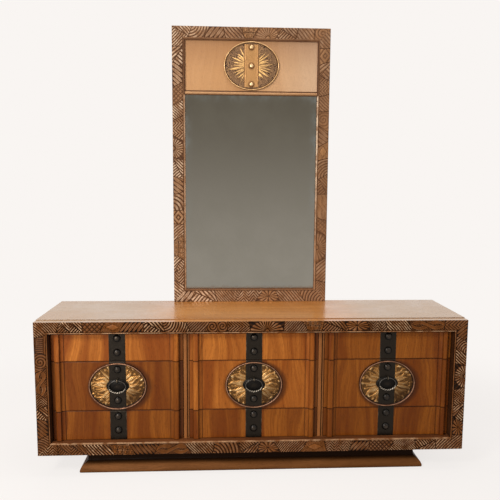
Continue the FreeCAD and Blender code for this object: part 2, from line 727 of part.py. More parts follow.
case_holes = [screw_holes[side, where] for side in SCREW_SIDES for where in ("case_low", "case_high")]
back_blank = board("case_back_blank", x=BETWEEN_ENDS, y=("inside_rear", "case_rear"),
                   z=("inside_low", "inside_high"))
cut("case_back_board", back_blank, group("case_back_holes", case_holes))

# ---------------------------------------------------------------- mirror
# Each member is a front lip of full width and, behind it, a narrower part that leaves the rebate.
mirror_outer = ("mirror_half", "case_high", "mirror_high")
lips = mitred(mirror_outer, ("sight_half", "sight_low", "sight_high"))
cheeks = mitred(mirror_outer, ("rebate_half", "rebate_low", "rebate_high"))
for member in lips:
    side = member.split("_")[0]
    drilled = side in SCREW_SIDES
    piece = body(f"mirror_{member}" + ("_blank" if drilled else ""), "0", "pane_face", "0")
    pad(piece, outline(piece, "XZ_Plane", lips[member]), "lip_thickness")
    pad(piece, outline(piece, "XZ_Plane", cheeks[member]), "mirror_thickness - lip_thickness", reverse=True)
    if drilled:
        bored(f"mirror_{member}", piece, side, ("mirror_low", "mirror_high"))

board("mirror_cross_rail", x=("-sight_half", "sight_half"),
      y=("mirror_front + cross_rail_setback", "pane_face"),
      z=("header_low - cross_rail_height", "header_low"))
board("mirror_glass", x=("-pane_half", "pane_half"), y=("pane_face", "pane_rear"),
      z=("pane_low", "pane_joint - pane_clearance / 2"))
board("header_panel", x=("-pane_half", "pane_half"), y=("pane_face", "pane_rear"),
      z=("pane_joint + pane_clearance / 2", "pane_high"))
board("mirror_backboard", x=("-pane_half", "pane_half"),
      y=("pane_rear", "pane_rear + backing_thickness"), z=("pane_low", "pane_high"))

# The oval on the header panel lies on the wood, and its strap ends inside the rim.
group("header_medallion", [
    oval("header_plate_oval", "0", "pane_face", "header_centre",
         "header_plate_half_width", "header_plate_half_height", "header_plate"),
    rim("header_rim", "0", "pane_face", "header_centre",
        "header_half_width", "header_half_height", "header_rim_height"),
])
header_plate_strap = board(
    "header_plate_strap", x=("-header_strap_half", "header_strap_half"),
    y=("header_strap_face", "header_strap_rear"),
    z=("header_centre - header_strap_reach", "header_centre + header_strap_reach"))
header_studs = [
    dome(f"header_stud_{number}", "0", "header_strap_face", f"header_centre + ({shift})",
         "header_stud_width", "header_stud_height")
    for number, shift in enumerate(("header_stud_pitch", "0", "-header_stud_pitch"), start=1)
]
group("header_strap", [header_plate_strap] + header_studs)

# ---------------------------------------------------------------- check and write
NODES = (
    ["plinth_front_board", "plinth_ends", "plinth_back_board"]
    + ["case_bottom", "case_top", "case_back_board", "case_left_side", "case_right_side", "partitions"]
    + [f"frame_{member}" for member in case_frame]
    + ["dust_boards", "drawer_guides"]
    + [f"{row}_drawer_{bay}_front" for row in ROWS for bay in BAYS]
    + [f"{row}_drawer_{bay}_box" for row in ROWS for bay in BAYS]
    + [f"{row}_drawer_{bay}_strap" for row in ROWS for bay in BAYS]
    + [f"{piece}_{bay}" for piece in ("medallion", "ring_pull") for bay in BAYS]
    + [f"mirror_{member}" for member in lips]
    + ["mirror_cross_rail", "mirror_glass", "header_panel", "mirror_backboard"]
    + ["header_medallion", "header_strap", "mirror_supports", "support_screws"]
)

doc.recompute()
faults = [item.Label for item in doc.Objects if {"Invalid", "Error"} & set(item.State)]
pieces = {name: doc.getObjectsByLabel(name)[0] for name in NODES}
faults += [name for name, piece in pieces.items() if piece.Shape.isNull() or not piece.Shape.isValid()]
if faults:
    raise SystemExit(f"failed: {faults}")

os.makedirs("parts", exist_ok=True)
for name, piece in pieces.items():
    piece.Shape.exportStep(f"parts/{name}.step")
solids = sum(len(piece.Shape.Solids) for piece in pieces.values())
print(f"{len(pieces)} nodes, {solids} solids written")
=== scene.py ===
# %% [markdown]
# # A dresser with its mirror
#
# The furniture is a low walnut dresser with nine drawers in three stacks, held in a carved frame, and
# a tall mirror in a matching frame. The CAD model of it is loaded as a fixed frame. Each visible piece
# then gets either a finish of its own or a more detailed piece in the same place.
#
# All lengths are metres. X runs to the viewer's right, Y to the back and Z up. The origin is on the
# floor. Sizes that the real maker would give in millimetres are multiplied by MM.

# %% Load the frame
import math
import random

import bmesh
import bpy
import numpy as np
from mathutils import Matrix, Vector, noise


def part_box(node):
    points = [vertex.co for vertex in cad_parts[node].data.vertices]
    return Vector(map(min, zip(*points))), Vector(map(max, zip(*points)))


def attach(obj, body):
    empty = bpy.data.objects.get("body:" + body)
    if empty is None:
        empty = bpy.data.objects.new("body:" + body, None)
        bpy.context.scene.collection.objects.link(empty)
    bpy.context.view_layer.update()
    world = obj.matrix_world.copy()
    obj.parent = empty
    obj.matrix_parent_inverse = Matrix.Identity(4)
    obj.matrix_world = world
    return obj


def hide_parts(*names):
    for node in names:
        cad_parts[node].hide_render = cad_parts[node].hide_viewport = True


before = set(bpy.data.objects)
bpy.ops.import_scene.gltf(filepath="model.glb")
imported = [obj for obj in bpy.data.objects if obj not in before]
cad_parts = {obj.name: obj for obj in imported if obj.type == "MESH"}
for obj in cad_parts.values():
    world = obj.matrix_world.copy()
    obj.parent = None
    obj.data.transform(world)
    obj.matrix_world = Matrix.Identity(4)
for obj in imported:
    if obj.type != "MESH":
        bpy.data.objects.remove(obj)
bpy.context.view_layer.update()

MM = 0.001
scene = bpy.context.scene

# %% [markdown]
# ## Camera
#
# The eye is 1.33 m above the floor and a little to the left of the middle, and looks slightly down.
# Verticals that lean together towards the foot come from that tilt, so no lens shift is needed.

# %% Camera
camera = bpy.data.objects.new("camera", bpy.data.cameras.new("camera"))
EYE, TURN, LENS = (-0.143, -2.706, 1.334), (83.56, -0.33, -2.74), 40.1  # metres, degrees, millimetres
camera.location = EYE
camera.rotation_euler = [math.radians(angle) for angle in TURN]
camera.data.lens = LENS
scene.collection.objects.link(camera)
scene.camera = camera
print("camera looks along", tuple(round(a, 3) for a in camera.rotation_euler))

# %% [markdown]
# ## Nodes in a few words
#
# Materials are node trees. Building one in a script means adding nodes, setting their sockets and
# linking them. A few small helpers keep every finish below readable: they add a node, do sums, ease a
# value between two limits, mix colours, and read noise. Colours are written as they are seen on a
# display, from 0 to 255, and turned into the linear values that sockets take.


# %% Node helpers
def tone(red, green, blue):
    """A display colour as the linear colour that a socket takes."""
    shares = [value / 255 for value in (red, green, blue)]
    return [s / 12.92 if s <= 0.04045 else ((s + 0.055) / 1.055) ** 2.4 for s in shares] + [1]


def feed(tree, socket, value):
    """Links a socket to another one, or sets it to a constant."""
    if isinstance(value, bpy.types.NodeSocket):
        tree.links.new(value, socket)
    else:
        socket.default_value = value


def add(tree, kind, inputs=(), **settings):
    """A shader node of a kind with its settings and its inputs, which are given by name or number."""
    node = tree.nodes.new("ShaderNode" + kind)
    for name, value in settings.items():
        setattr(node, name, value)
    for key, value in dict(inputs).items():
        feed(tree, node.inputs[key], value)
    return node


def sum_of(tree, operation, *values):
    """The result of a Math node."""
    return add(tree, "Math", enumerate(values), operation=operation).outputs[0]


def times(tree, first, second):
    return sum_of(tree, "MULTIPLY", first, second)


def kept(tree, name):
    """A number that a piece's corners carry."""
    return add(tree, "Attribute", (), attribute_name=name).outputs["Fac"]


def limits(tree, value, low, high, to_low=0.0, to_high=1.0):
    """A value's way from low to high, eased and kept inside two other limits."""
    ends = {"Value": value, "From Min": low, "From Max": high, "To Min": to_low, "To Max": to_high}
    return add(tree, "MapRange", ends, interpolation_type="SMOOTHSTEP").outputs["Result"]


def blend(tree, share, first, second, mode="MIX"):
    """Two colours mixed by a share."""
    node = add(tree, "Mix", {0: share, 6: first, 7: second}, data_type="RGBA", blend_type=mode)
    return node.outputs[2]


def cloud(tree, place, scale, detail=3.0, roughness=0.55, distortion=0.0):
    """Noise from about 0 to 1."""
    values = {"Vector": place, "Scale": scale, "Detail": detail, "Roughness": roughness,
              "Distortion": distortion}
    return add(tree, "TexNoise", values).outputs[0]


def stretched(tree, place, x, y, z):
    """A place scaled along each axis, which stretches the patterns that read it."""
    return add(tree, "VectorMath", {0: place, 1: (x, y, z)}, operation="MULTIPLY").outputs[0]


print("node helpers ready")


# %% Group and material helpers
def new_group(name, inputs, outputs):
    """An empty node group with named sockets, and the sockets inside it."""
    tree = bpy.data.node_groups.new(name, "ShaderNodeTree")
    for label, kind in inputs.items():
        tree.interface.new_socket(label, in_out="INPUT", socket_type="NodeSocket" + kind)
    for label, kind in outputs.items():
        tree.interface.new_socket(label, in_out="OUTPUT", socket_type="NodeSocket" + kind)
    return tree, tree.nodes.new("NodeGroupInput").outputs, tree.nodes.new("NodeGroupOutput").inputs


def new_material(name):
    """A material with its tree, its Principled shader and object coordinates."""
    material = bpy.data.materials.new(name)
    material.use_nodes = True
    tree = material.node_tree
    shader = tree.nodes["Principled BSDF"]
    return material, tree, shader, add(tree, "TexCoord").outputs["Object"]


def grouped(tree, group, inputs):
    """A node group placed in a tree, as its outputs."""
    node = tree.nodes.new("ShaderNodeGroup")
    node.node_tree = group
    for key, value in inputs.items():
        feed(tree, node.inputs[key], value)
    return node.outputs


def bump(tree, shader, height, distance, strength=1.0):
    """Feeds a height into the shader's normal, as a relief of that many metres."""
    node = add(tree, "Bump", {"Strength": strength, "Distance": distance, "Height": height})
    feed(tree, shader.inputs["Normal"], node.outputs[0])


print("group and material helpers ready")

# %% [markdown]
# ## Light, backdrop and floor
#
# Furniture like this is lit from the left by a high lamp and a wide low one, so that mouldings throw
# short soft shadows. Weaker lamps stand on the right, above and behind, and a little light comes from
# all around. The backdrop is a pale warm white. Its colour reaches the camera, and reflections, through
# Light Path's outputs, so that it never has to be lit, and the light on the wood stays at a plain level.
#
# Light linking keeps a lamp off single objects, as a black flag does in a studio. The low lamp would
# stand in the mirror, and it and the rear lamp would lie as a white glare on the varnished top.

# %% Lamps
def lamp(name, place, target, size, power, colour):
    """A square area lamp at a place, turned to a target."""
    data = bpy.data.lights.new(name, "AREA")
    data.energy, data.size, data.color = power, size, colour
    made = bpy.data.objects.new(name, data)
    made.location = place
    made.rotation_euler = (Vector(target) - Vector(place)).to_track_quat("-Z", "Y").to_euler()
    scene.collection.objects.link(made)
    return made


WARM_LIGHT = (1, 0.97, 0.93)
lamp("key", (-2.4, -2.7, 3.2), (0.1, 0, 0.7), 1.0, 90, WARM_LIGHT)
window = lamp("window", (-2.1, -4.0, 1.4), (0.1, 0, 0.7), 1.7, 100, WARM_LIGHT)
lamp("fill", (2.8, -3.0, 2.9), (0, 0, 0.8), 2.0, 24, (0.97, 0.98, 1))
lamp("high", (0.3, -0.5, 4.2), (0, 0, 0.7), 1.6, 40, (1, 0.98, 0.96))
rear = lamp("rear", (-1.2, 3.3, 2.4), (0, 0.2, 0.8), 1.8, 26, (0.98, 0.98, 1))


def flag(light, shaded):
    """Keeps a lamp's light off one object."""
    linking = light.light_linking
    off = linking.receiver_collection or bpy.data.collections.new("flagged off " + light.name)
    linking.receiver_collection = off
    off.objects.link(shaded)
    for linked in off.collection_objects:
        linked.light_linking.link_state = "EXCLUDE"


flag(window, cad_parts["mirror_glass"])
for light in (window, rear):
    flag(light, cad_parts["case_top"])
print(len(bpy.data.lights), "lamps")

# %% World
PALE = tone(249, 245, 242)
AMBIENT, FLOOR_BOUNCE = 0.27, 0.1  # what the wood gets from all around, and from the floor


def seen(tree):
    """1 for the camera and for what glossy or clear surfaces show of the backdrop, else 0."""
    path = add(tree, "LightPath").outputs
    mirrored = sum_of(tree, "MAXIMUM", path["Is Glossy Ray"], path["Is Transmission Ray"])
    return sum_of(tree, "MAXIMUM", path["Is Camera Ray"], mirrored)


world = bpy.data.worlds.new("studio")
world.use_nodes = True
scene.world = world
tree = world.node_tree
backdrop = tree.nodes["Background"]
feed(tree, backdrop.inputs["Color"], PALE)
feed(tree, backdrop.inputs["Strength"], limits(tree, seen(tree), 0, 1, AMBIENT, 1))
scene.view_settings.view_transform = "Standard"
print("ambient light", AMBIENT)

# %% [markdown]
# The floor is a wide disc. Near the furniture it takes part of its brightness from the lamps, and so
# holds a soft shadow. Further out it fades into the backdrop's own colour, and no horizon shows. To
# the light that bounces off it, it is darker than to the eye, or it would fill every shadow from below.

# %% Floor
SHADOW_SHARE = 0.16  # how much of the floor's brightness the lamps give, next to the plinth
FADE_NEAR, FADE_FAR = 1.3, 2.6
FLOOR_RADIUS, FLOOR_DROP = 40, 0.0002  # the drop keeps it from fighting with the plinth's underside

floor_mesh = bpy.data.meshes.new("floor")
floor_form = bmesh.new()
bmesh.ops.create_circle(floor_form, cap_ends=True, segments=96, radius=FLOOR_RADIUS)
bmesh.ops.translate(floor_form, verts=floor_form.verts, vec=(0, 0, -FLOOR_DROP))
floor_form.to_mesh(floor_mesh)
floor = bpy.data.objects.new("floor", floor_mesh)
scene.collection.objects.link(floor)

floor_material, tree, shader, place = new_material("studio floor")
feed(tree, shader.inputs["Base Color"], blend(tree, seen(tree), [FLOOR_BOUNCE] * 3 + [1], PALE))
feed(tree, shader.inputs["Roughness"], 0.9)
feed(tree, shader.inputs["Specular IOR Level"], 0.1)
far = add(tree, "VectorMath", {0: place}, operation="LENGTH").outputs["Value"]
own_light = limits(tree, far, FADE_NEAR, FADE_FAR, 1 - SHADOW_SHARE, 1)
glow = add(tree, "Emission", {"Color": PALE})
mixed = add(tree, "MixShader", {0: times(tree, own_light, seen(tree)),
                                1: shader.outputs[0], 2: glow.outputs[0]})
feed(tree, tree.nodes["Material Output"].inputs["Surface"], mixed.outputs[0])
floor_mesh.materials.append(floor_material)
print("floor ready")

# %% [markdown]
# ## Wood
#
# Every wooden surface here is walnut or a plainer wood stained like it. Wood shows four things at once:
# wide bands where the cut crosses the growth rings, narrow streaks along the fibres, short dark pores,
# and a varnish that has worn unevenly. The first three belong in one node group, because all the
# woods share them and only differ in colour. The grain runs along Z inside the group, and a Mapping
# node in each material turns it for boards that lie down.

# %% Grain group
grain_group, given, result = new_group(
    "wood grain", {"Vector": "Vector", "Bands": "Float", "Fineness": "Float"},
    {"Figure": "Float", "Streaks": "Float", "Pores": "Float"})
tree = grain_group
wander = cloud(tree, stretched(tree, given["Vector"], 2.2, 2.2, 0.9), 1.6, 2)
sideways = add(tree, "CombineXYZ", {0: times(tree, wander, 0.22)}).outputs[0]
warped = add(tree, "VectorMath", {0: given["Vector"], 1: sideways}, operation="ADD").outputs[0]
bands = cloud(tree, stretched(tree, warped, 1, 1, 0.055), given["Bands"], 2.5, 0.5, 0.35)
feed(tree, result["Figure"], limits(tree, bands, 0.32, 0.68))
streaks = cloud(tree, stretched(tree, warped, 1, 1, 0.022), given["Fineness"], 3, 0.62)
feed(tree, result["Streaks"], limits(tree, streaks, 0.3, 0.7))
dashes = cloud(tree, stretched(tree, given["Vector"], 1, 1, 0.035), 900, 1, 0.5)
feed(tree, result["Pores"], limits(tree, dashes, 0.60, 0.72))
print("grain group ready")

# %% [markdown]
# Old varnish is never one gloss. A second group gives slow patches of wear for roughness, and fine dust
# and scuffs for colour. It goes on wood and metal alike.

# %% Wear group
wear_group, given, result = new_group(
    "wear", {"Vector": "Vector", "Scale": "Float"}, {"Patches": "Float", "Scuffs": "Float"})
tree = wear_group
feed(tree, result["Patches"], limits(tree, cloud(tree, given["Vector"], given["Scale"], 4, 0.6), 0.3, 0.7))
fine = cloud(tree, given["Vector"], times(tree, given["Scale"], 14), 4, 0.7)
feed(tree, result["Scuffs"], limits(tree, fine, 0.48, 0.75))
print("wear group ready")

# %% [markdown]
# One function makes each wood from three colours: the figure moves the colour between light and dark,
# streaks shade it a little, and pores add specks of the darkest one. Age is laid over that. The top is
# paler towards its ends, a painted sheen of the bright room, and shows the glue line between its
# boards. The header panel is paler towards the right and darker along its upper edge. A painted shadow
# lies round the drawers' medallions, most on their right.
#
# Boards that are separate on the real piece must not share one pattern, so a piece may carry a number
# in an attribute called board, which shifts the pattern sideways. One called stain darkens it as a
# whole, and one called glaze puts the darkest colour into its corners: glaze, and painted shade.

# %% Wood recipe
UPRIGHT, ALONG_X, ALONG_Y = (0, 0, 0), (0, math.radians(90), 0), (math.radians(90), 0, 0)
STAIN_LEAVES = (0.37, 0.32, 0.16, 1)  # how much of red, green and blue a full stain leaves
SHADOW_ASIDE = 0.009  # the painted shadow lies a little more on the side away from the light


def wood(name, light, dark, deep, turn=UPRIGHT, bands=17, fineness=130, rough=0.42, coat=0.04, gloss=0.12,
         pores=0.45, shift=0.0, paling_and_sheen=None, joint=None, shadow_oval=None, streaky=0.42, crown=None):
    """A varnished wood in display colours. paling_and_sheen is where along x it starts and ends to turn
    to a paler colour, and that colour; on the top this is a painted sheen. joint is the y of a dark glue
    line. shadow_oval is an oval that repeats along x, in metres: its distance from the next, its height,
    and its half sizes. A painted shadow darkens the wood at its edge, shifted away from the light.
    crown is the height where the wood starts and ends to darken, and by how little and much."""
    material, tree, shader, place = new_material(name)
    light, dark, deep = (tone(*colour) for colour in (light, dark, deep))
    board = kept(tree, "board")
    offset = add(tree, "CombineXYZ", {0: board, 1: shift, 2: times(tree, board, 3.7)})
    turned = add(tree, "Mapping", {"Vector": place, "Rotation": turn}).outputs[0]
    spot = add(tree, "VectorMath", {0: turned, 1: offset.outputs[0]}, operation="ADD").outputs[0]
    grain = grouped(tree, grain_group, {"Vector": spot, "Bands": bands, "Fineness": fineness})
    wear = grouped(tree, wear_group, {"Vector": place, "Scale": 5.0})
    across, depth, up = (add(tree, "SeparateXYZ", {0: place}).outputs[axis] for axis in "XYZ")
    # on the top, the paler ends are a painted sheen of the bright room
    if paling_and_sheen is not None:
        start, stop, pale = paling_and_sheen
        way = across if start < 0 else sum_of(tree, "ABSOLUTE", across)
        light = blend(tree, limits(tree, way, start, stop, 0, 0.85), light, tone(*pale))
        dark = blend(tree, limits(tree, way, start, stop, 0, 0.7), dark, tone(*pale))
    colour = blend(tree, grain["Figure"], light, dark)
    colour = blend(tree, times(tree, grain["Streaks"], streaky), colour, dark)
    colour = blend(tree, times(tree, grain["Pores"], pores), colour, deep)
    colour = blend(tree, times(tree, wear["Scuffs"], 0.10), colour, deep)
    # glaze: glaze in corners, and painted shade in recesses and seams
    glaze = kept(tree, "glaze")
    if joint is not None:
        aside = sum_of(tree, "SUBTRACT", depth, joint)
        line = limits(tree, sum_of(tree, "ABSOLUTE", aside), 0.0006, 0.0018, 0.5, 0)
        glaze = sum_of(tree, "MAXIMUM", glaze, line)
    colour = blend(tree, glaze, colour, deep)
    colour = blend(tree, kept(tree, "stain"), colour, STAIN_LEAVES, "MULTIPLY")
    if crown is not None:
        colour = blend(tree, limits(tree, up, *crown), colour, deep)
    # a painted shadow round each medallion, shifted away from the light
    if shadow_oval is not None:
        apart, middle, half_x, half_z = shadow_oval
        away = sum_of(tree, "WRAP", across, -apart / 2, apart / 2)
        away = sum_of(tree, "DIVIDE", sum_of(tree, "SUBTRACT", away, SHADOW_ASIDE), half_x)
        rise = sum_of(tree, "DIVIDE", sum_of(tree, "SUBTRACT", up, middle), half_z)
        reach = add(tree, "VectorMath", {0: add(tree, "CombineXYZ", {0: away, 1: rise}).outputs[0]},
                    operation="LENGTH").outputs["Value"]
        colour = blend(tree, limits(tree, reach, 0.97, 1.12, 0.75, 0), colour, deep)
    feed(tree, shader.inputs["Base Color"], colour)
    feed(tree, shader.inputs["Roughness"], limits(tree, wear["Patches"], 0, 1, rough - 0.06, rough + 0.10))
    shader.inputs["Coat Weight"].default_value = coat
    shader.inputs["Coat Roughness"].default_value = 0.22
    shader.inputs["Specular IOR Level"].default_value = gloss
    relief = sum_of(tree, "SUBTRACT", times(tree, grain["Streaks"], 0.5), grain["Pores"])
    bump(tree, shader, relief, 0.00025, 0.6)
    return material


print("wood recipe ready")

# %% Ten woods
# the drawers' wood carries a painted shadow round each medallion
drawer_wood = wood("drawer walnut", (202, 122, 50), (142, 72, 22), (62, 28, 7), pores=0.55,
                   shadow_oval=(0.627, 0.4155, 0.140, 0.1165), streaky=0.6)
bead_wood = wood("lit walnut edge", (192, 148, 106), (174, 128, 88), (60, 34, 20), ALONG_X, bands=40)
edge_wood = wood("partition walnut", (160, 102, 56), (140, 86, 44), (46, 20, 6), bands=40)
# the top's paler ends are a painted sheen
top_wood = wood("top walnut", (220, 152, 80), (194, 126, 58), (90, 52, 26), ALONG_X, rough=0.34,
                coat=0.7, gloss=0.4, paling_and_sheen=(0.3, 0.62, (180, 152, 118)), joint=-0.1935)
side_wood = wood("end walnut", (160, 100, 50), (116, 66, 30), (60, 32, 14), shift=2.1)
ledge_wood = wood("frame side walnut", (128, 78, 42), (88, 50, 26), (44, 24, 12), ALONG_X, bands=30,
                  shift=3.3)
plinth_wood = wood("plinth walnut", (131, 83, 45), (102, 62, 30), (24, 10, 2), ALONG_X, bands=24,
                   shift=5.1, coat=0, gloss=0.04)
veneer = wood("header veneer", (197, 149, 101), (182, 132, 84), (116, 68, 32), bands=9, fineness=90,
              pores=0.3, rough=0.4, gloss=0.3, shift=7.7, paling_and_sheen=(-0.02, 0.44, (214, 184, 154)),
              crown=(1.88, 2.07, 0, 0.4))
inner_wood = wood("inner wood", (196, 160, 112), (168, 130, 84), (120, 86, 52), ALONG_Y, rough=0.6,
                  coat=0, shift=1.3)
back_wood = wood("back board", (150, 112, 74), (122, 88, 56), (80, 54, 34), rough=0.7, coat=0, bands=8,
                 shift=4.9)
print("ten woods")

# %% [markdown]
# ## How a new piece is made
#
# Most new pieces start from a grid of quads whose corners are moved to where the form needs them: flat
# for a carved board, round for a wire, into an ellipse for a plate. Each corner can also keep numbers,
# such as how high it stands in the carving, and the finish reads those from the mesh. The last helper
# turns the bmesh into an object that rides on its body and stands for its CAD node.


# %% Sheets
def fresh():
    """An empty bmesh whose corners can keep numbers for the finish."""
    bm = bmesh.new()
    for name in ("relief", "rubbed", "warm", "glaze"):
        bm.verts.layers.float.new(name)
    return bm


def sheet(bm, columns, rows, form):
    """A grid of quads. form takes u and v, from 0 to 1, as arrays, and gives x, y, z and a table of
    further numbers that the corners keep."""
    made = bmesh.ops.create_grid(bm, x_segments=columns, y_segments=rows, size=0.5)["verts"]
    flat = np.array([vert.co[:2] for vert in made]) + 0.5
    x, y, z, numbers = form(flat[:, 0], flat[:, 1])
    for vert, place in zip(made, np.stack(np.broadcast_arrays(x, y, z), 1)):
        vert.co = place
    for name, values in numbers.items():
        layer = bm.verts.layers.float[name]
        for vert, number in zip(made, np.broadcast_to(values, len(made))):
            vert[layer] = number
    return made


def weld(bm, verts):
    """Joins corners that lie on each other, such as a wire's seam or a plate's middle."""
    bmesh.ops.remove_doubles(bm, verts=verts, dist=1e-6)


def close(bm, verts, back=None):
    """Closes an open sheet: pulls its rim back to y = back, if that is given, and fills it."""
    rim = list({edge for vert in verts if vert.is_valid for edge in vert.link_edges if edge.is_boundary})
    if back is not None:
        pulled = bmesh.ops.extrude_edge_only(bm, edges=rim)["geom"]
        for vert in (item for item in pulled if isinstance(item, bmesh.types.BMVert)):
            vert.co.y = back
        rim = [item for item in pulled if isinstance(item, bmesh.types.BMEdge) and item.is_boundary]
    bmesh.ops.holes_fill(bm, edges=rim, sides=0)


print("sheets ready")


# %% Bars and finished pieces
def prism(bm, outline, along, start, end):
    """A bar with a given section: corners in a plane, moved from start to end along an axis."""
    axis = "xyz".index(along)
    others = [number for number in range(3) if number != axis]
    corners = []
    for point in outline:
        place = [start] * 3
        place[others[0]], place[others[1]] = point
        corners.append(bm.verts.new(place))
    pairs = zip(corners, corners[1:] + corners[:1])
    loop = [bmesh.ops.contextual_create(bm, geom=list(pair))["edges"][0] for pair in pairs]
    cap = bmesh.ops.edgeloop_fill(bm, edges=loop)["faces"]
    moved = bmesh.ops.extrude_face_region(bm, geom=cap, use_keep_orig=True)["geom"]
    travel = Vector([end - start if number == axis else 0 for number in range(3)])
    far_end = [item for item in moved if isinstance(item, bmesh.types.BMVert)]
    bmesh.ops.translate(bm, verts=far_end, vec=travel)
    return corners + far_end


def soften(bm, edges, width):
    """Rounds edges by a width."""
    bmesh.ops.bevel(bm, geom=edges, offset=width, segments=2, affect="EDGES", profile=0.5, material=-1,
                    clamp_overlap=True)


def second_finish(bm, first):
    """Gives the piece's second material to all faces but the first ones."""
    for face in set(bm.faces) - first:
        face.material_index = 1


SHARP = 38  # degrees between two faces from which their edge stays crisp


def shade(mesh, sharp=SHARP):
    """Smooth faces with crisp edges."""
    mesh.shade_smooth()
    mesh.set_sharp_from_angle(angle=math.radians(sharp))


def piece(name, bm, body, materials, nodes, numbers=(), sharp=SHARP):
    """Turns a bmesh into a finished object on its body, in place of CAD nodes. numbers are the same at
    every corner."""
    bmesh.ops.recalc_face_normals(bm, faces=bm.faces)
    mesh = bpy.data.meshes.new(name)
    bm.to_mesh(mesh)
    bm.free()
    for material in materials:
        mesh.materials.append(material)
    shade(mesh, sharp)
    for label, value in dict(numbers).items():
        constant = mesh.attributes.new(label, "FLOAT", "POINT")
        constant.data.foreach_set("value", [value] * len(mesh.vertices))
    made = bpy.data.objects.new(name, mesh)
    scene.collection.objects.link(made)
    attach(made, body)
    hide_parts(*nodes)
    return made


print("bars and finished pieces ready")

# %% [markdown]
# ## Carving
#
# The frames are covered with chip carving: short runs of traditional geometric ornament, such as
# slanted strokes, chevrons, fans, stars, hatching and crossed ribbons, cut one beside the other with
# no gap. Modelling each cut by hand would take days. Instead each ornament is a small function
# that gives a height from 0 in a groove to 1 on a crest for any place along the board. The arguments
# are millimetres along the ornament, millimetres across it, its length, its width and which way it
# leans.


# %% Ornament in straight cuts
def reeds(phase):
    """Rounded ridges with sharp grooves between them."""
    return 1 - (2 * (phase % 1) - 1) ** 2


def fitted(length, pitch):
    """A pitch near the given one that goes into the length a whole number of times."""
    return length / max(1, round(length / pitch))


def strokes(u, v, length, width, lean):
    return reeds((u + lean * 0.9 * v) / 13)


def hatching(u, v, length, width, lean):
    return 0.25 + 0.75 * np.minimum(reeds((u + v) / 19), reeds((u - v) / 19))


def chevrons(u, v, length, width, lean):
    return reeds((u + lean * 1.1 * np.abs(v - width / 2)) / 13.5)


def zigzags(u, v, length, width, lean):
    period = fitted(length, 46)
    return reeds((v + 1.1 * np.abs(u % period - period / 2)) / 13)


def diamonds(u, v, length, width, lean):
    period = fitted(length, 62)
    reach = np.abs(u % period - period / 2) / period + np.abs(v - width / 2) / width
    return reeds(reach * 2.6 + 0.5)


def triangles(u, v, length, width, lean):
    period = fitted(length, 72)
    along = (u if lean > 0 else length - u) % period
    side = v / width - along / period
    filled = np.where(side > 0, reeds((u + 0.9 * v) / 14), reeds((u - 0.9 * v) / 14))
    return filled * np.clip(np.abs(side) * 16, 0, 1)


def ladder(u, v, length, width, lean):
    inside = np.abs(v - width / 2) < width * 0.33
    return np.where(inside, reeds(u / 9.5), reeds((v - width / 2) / (width * 0.36) + 0.1))


def blocks(u, v, length, width, lean):
    size = width / 2
    reach = np.maximum(np.abs(u % size - size / 2), np.abs(v % size - size / 2)) / (size / 2)
    return np.where(reach > 0.9, 0, np.where(reach > 0.62, 1, np.where(reach > 0.44, 0.25, 0.85)))


def lozenge(u, v, length, width, lean):
    reach = np.abs(2 * u / length - 1) + np.abs(2 * v / width - 1)
    return np.where(reach < 0.72, 1 - 0.3 * (reach / 0.72) ** 4, np.where(reach < 0.8, 0, reeds(reach * 4)))


print("a groove is", reeds(0.0), "high and a crest", reeds(0.5))


# %% Ornament in curves
def fan(u, v, length, width, lean):
    rise = v if lean > 0 else width - v
    radius = np.hypot(u - length / 2, rise)
    rays = reeds(np.arctan2(rise, u - length / 2) / math.pi * 12)
    spread = np.clip((radius - 9) / 4, 0, 1)
    edge = np.hypot((u - length / 2) / (length / 2), rise / (width * 1.05))
    return np.where(radius < 8, 0.9, rays * spread) * np.clip((1.02 - edge) / 0.08, 0.4, 1)


def star(u, v, length, width, lean):
    across, along = v - width / 2, (u - length / 2) * width / length
    radius, angle = np.hypot(along, across), np.arctan2(across, along)
    edge = np.clip((width * 0.62 - radius) / 4, 0.4, 1)
    return reeds(angle / math.pi * 6) * np.clip(radius / 5, 0, 1) * edge


def arcs(u, v, length, width, lean):
    return reeds(np.hypot(u if lean > 0 else length - u, v + 4) / 12.5)


def spirals(u, v, length, width, lean):
    period = fitted(length, 56)
    along, across = u % period - period / 2, v - width / 2
    turn = np.arctan2(across, along * lean) / (2 * math.pi)
    return reeds(np.hypot(along, across) / 12 - turn)


def ribbons(u, v, length, width, lean):
    swing = width * 0.30 * np.sin(2 * math.pi * u / length)
    first, second = (np.abs(v - width / 2 - side * swing) / (width * 0.17) for side in (1, -1))
    over = np.where((u < length * 0.3) | (u > length * 0.7), first, second)
    under = np.where((u < length * 0.3) | (u > length * 0.7), second, first)
    ground = 0.25 + 0.4 * reeds((u - v) / 11)
    band = np.where(under < 1, 0.62 + 0.2 * under ** 2, ground)
    return np.where(over < 1, 0.75 + 0.25 * over ** 3, np.where(over < 1.25, 0.1, band))


def leaves(u, v, length, width, lean):
    leaned = (u + lean * 0.8 * v) / 19
    across, along = 2 * (leaned % 1) - 1, 2 * v / width - 1
    reach = 0.94 * np.clip(1 - along ** 2, 0.02, 1) ** 0.5
    blade = 1 - 0.45 * (across / reach) ** 2 - 0.4 * np.exp(-((across / 0.12) ** 2))
    return np.where(np.abs(across) < reach, blade, 0.08)


ORNAMENTS = {form.__name__: form for form in (
    strokes, hatching, chevrons, zigzags, diamonds, triangles, fan, star, ladder, arcs, spirals, ribbons,
    leaves, blocks, lozenge)}
print(len(ORNAMENTS), "ornaments")

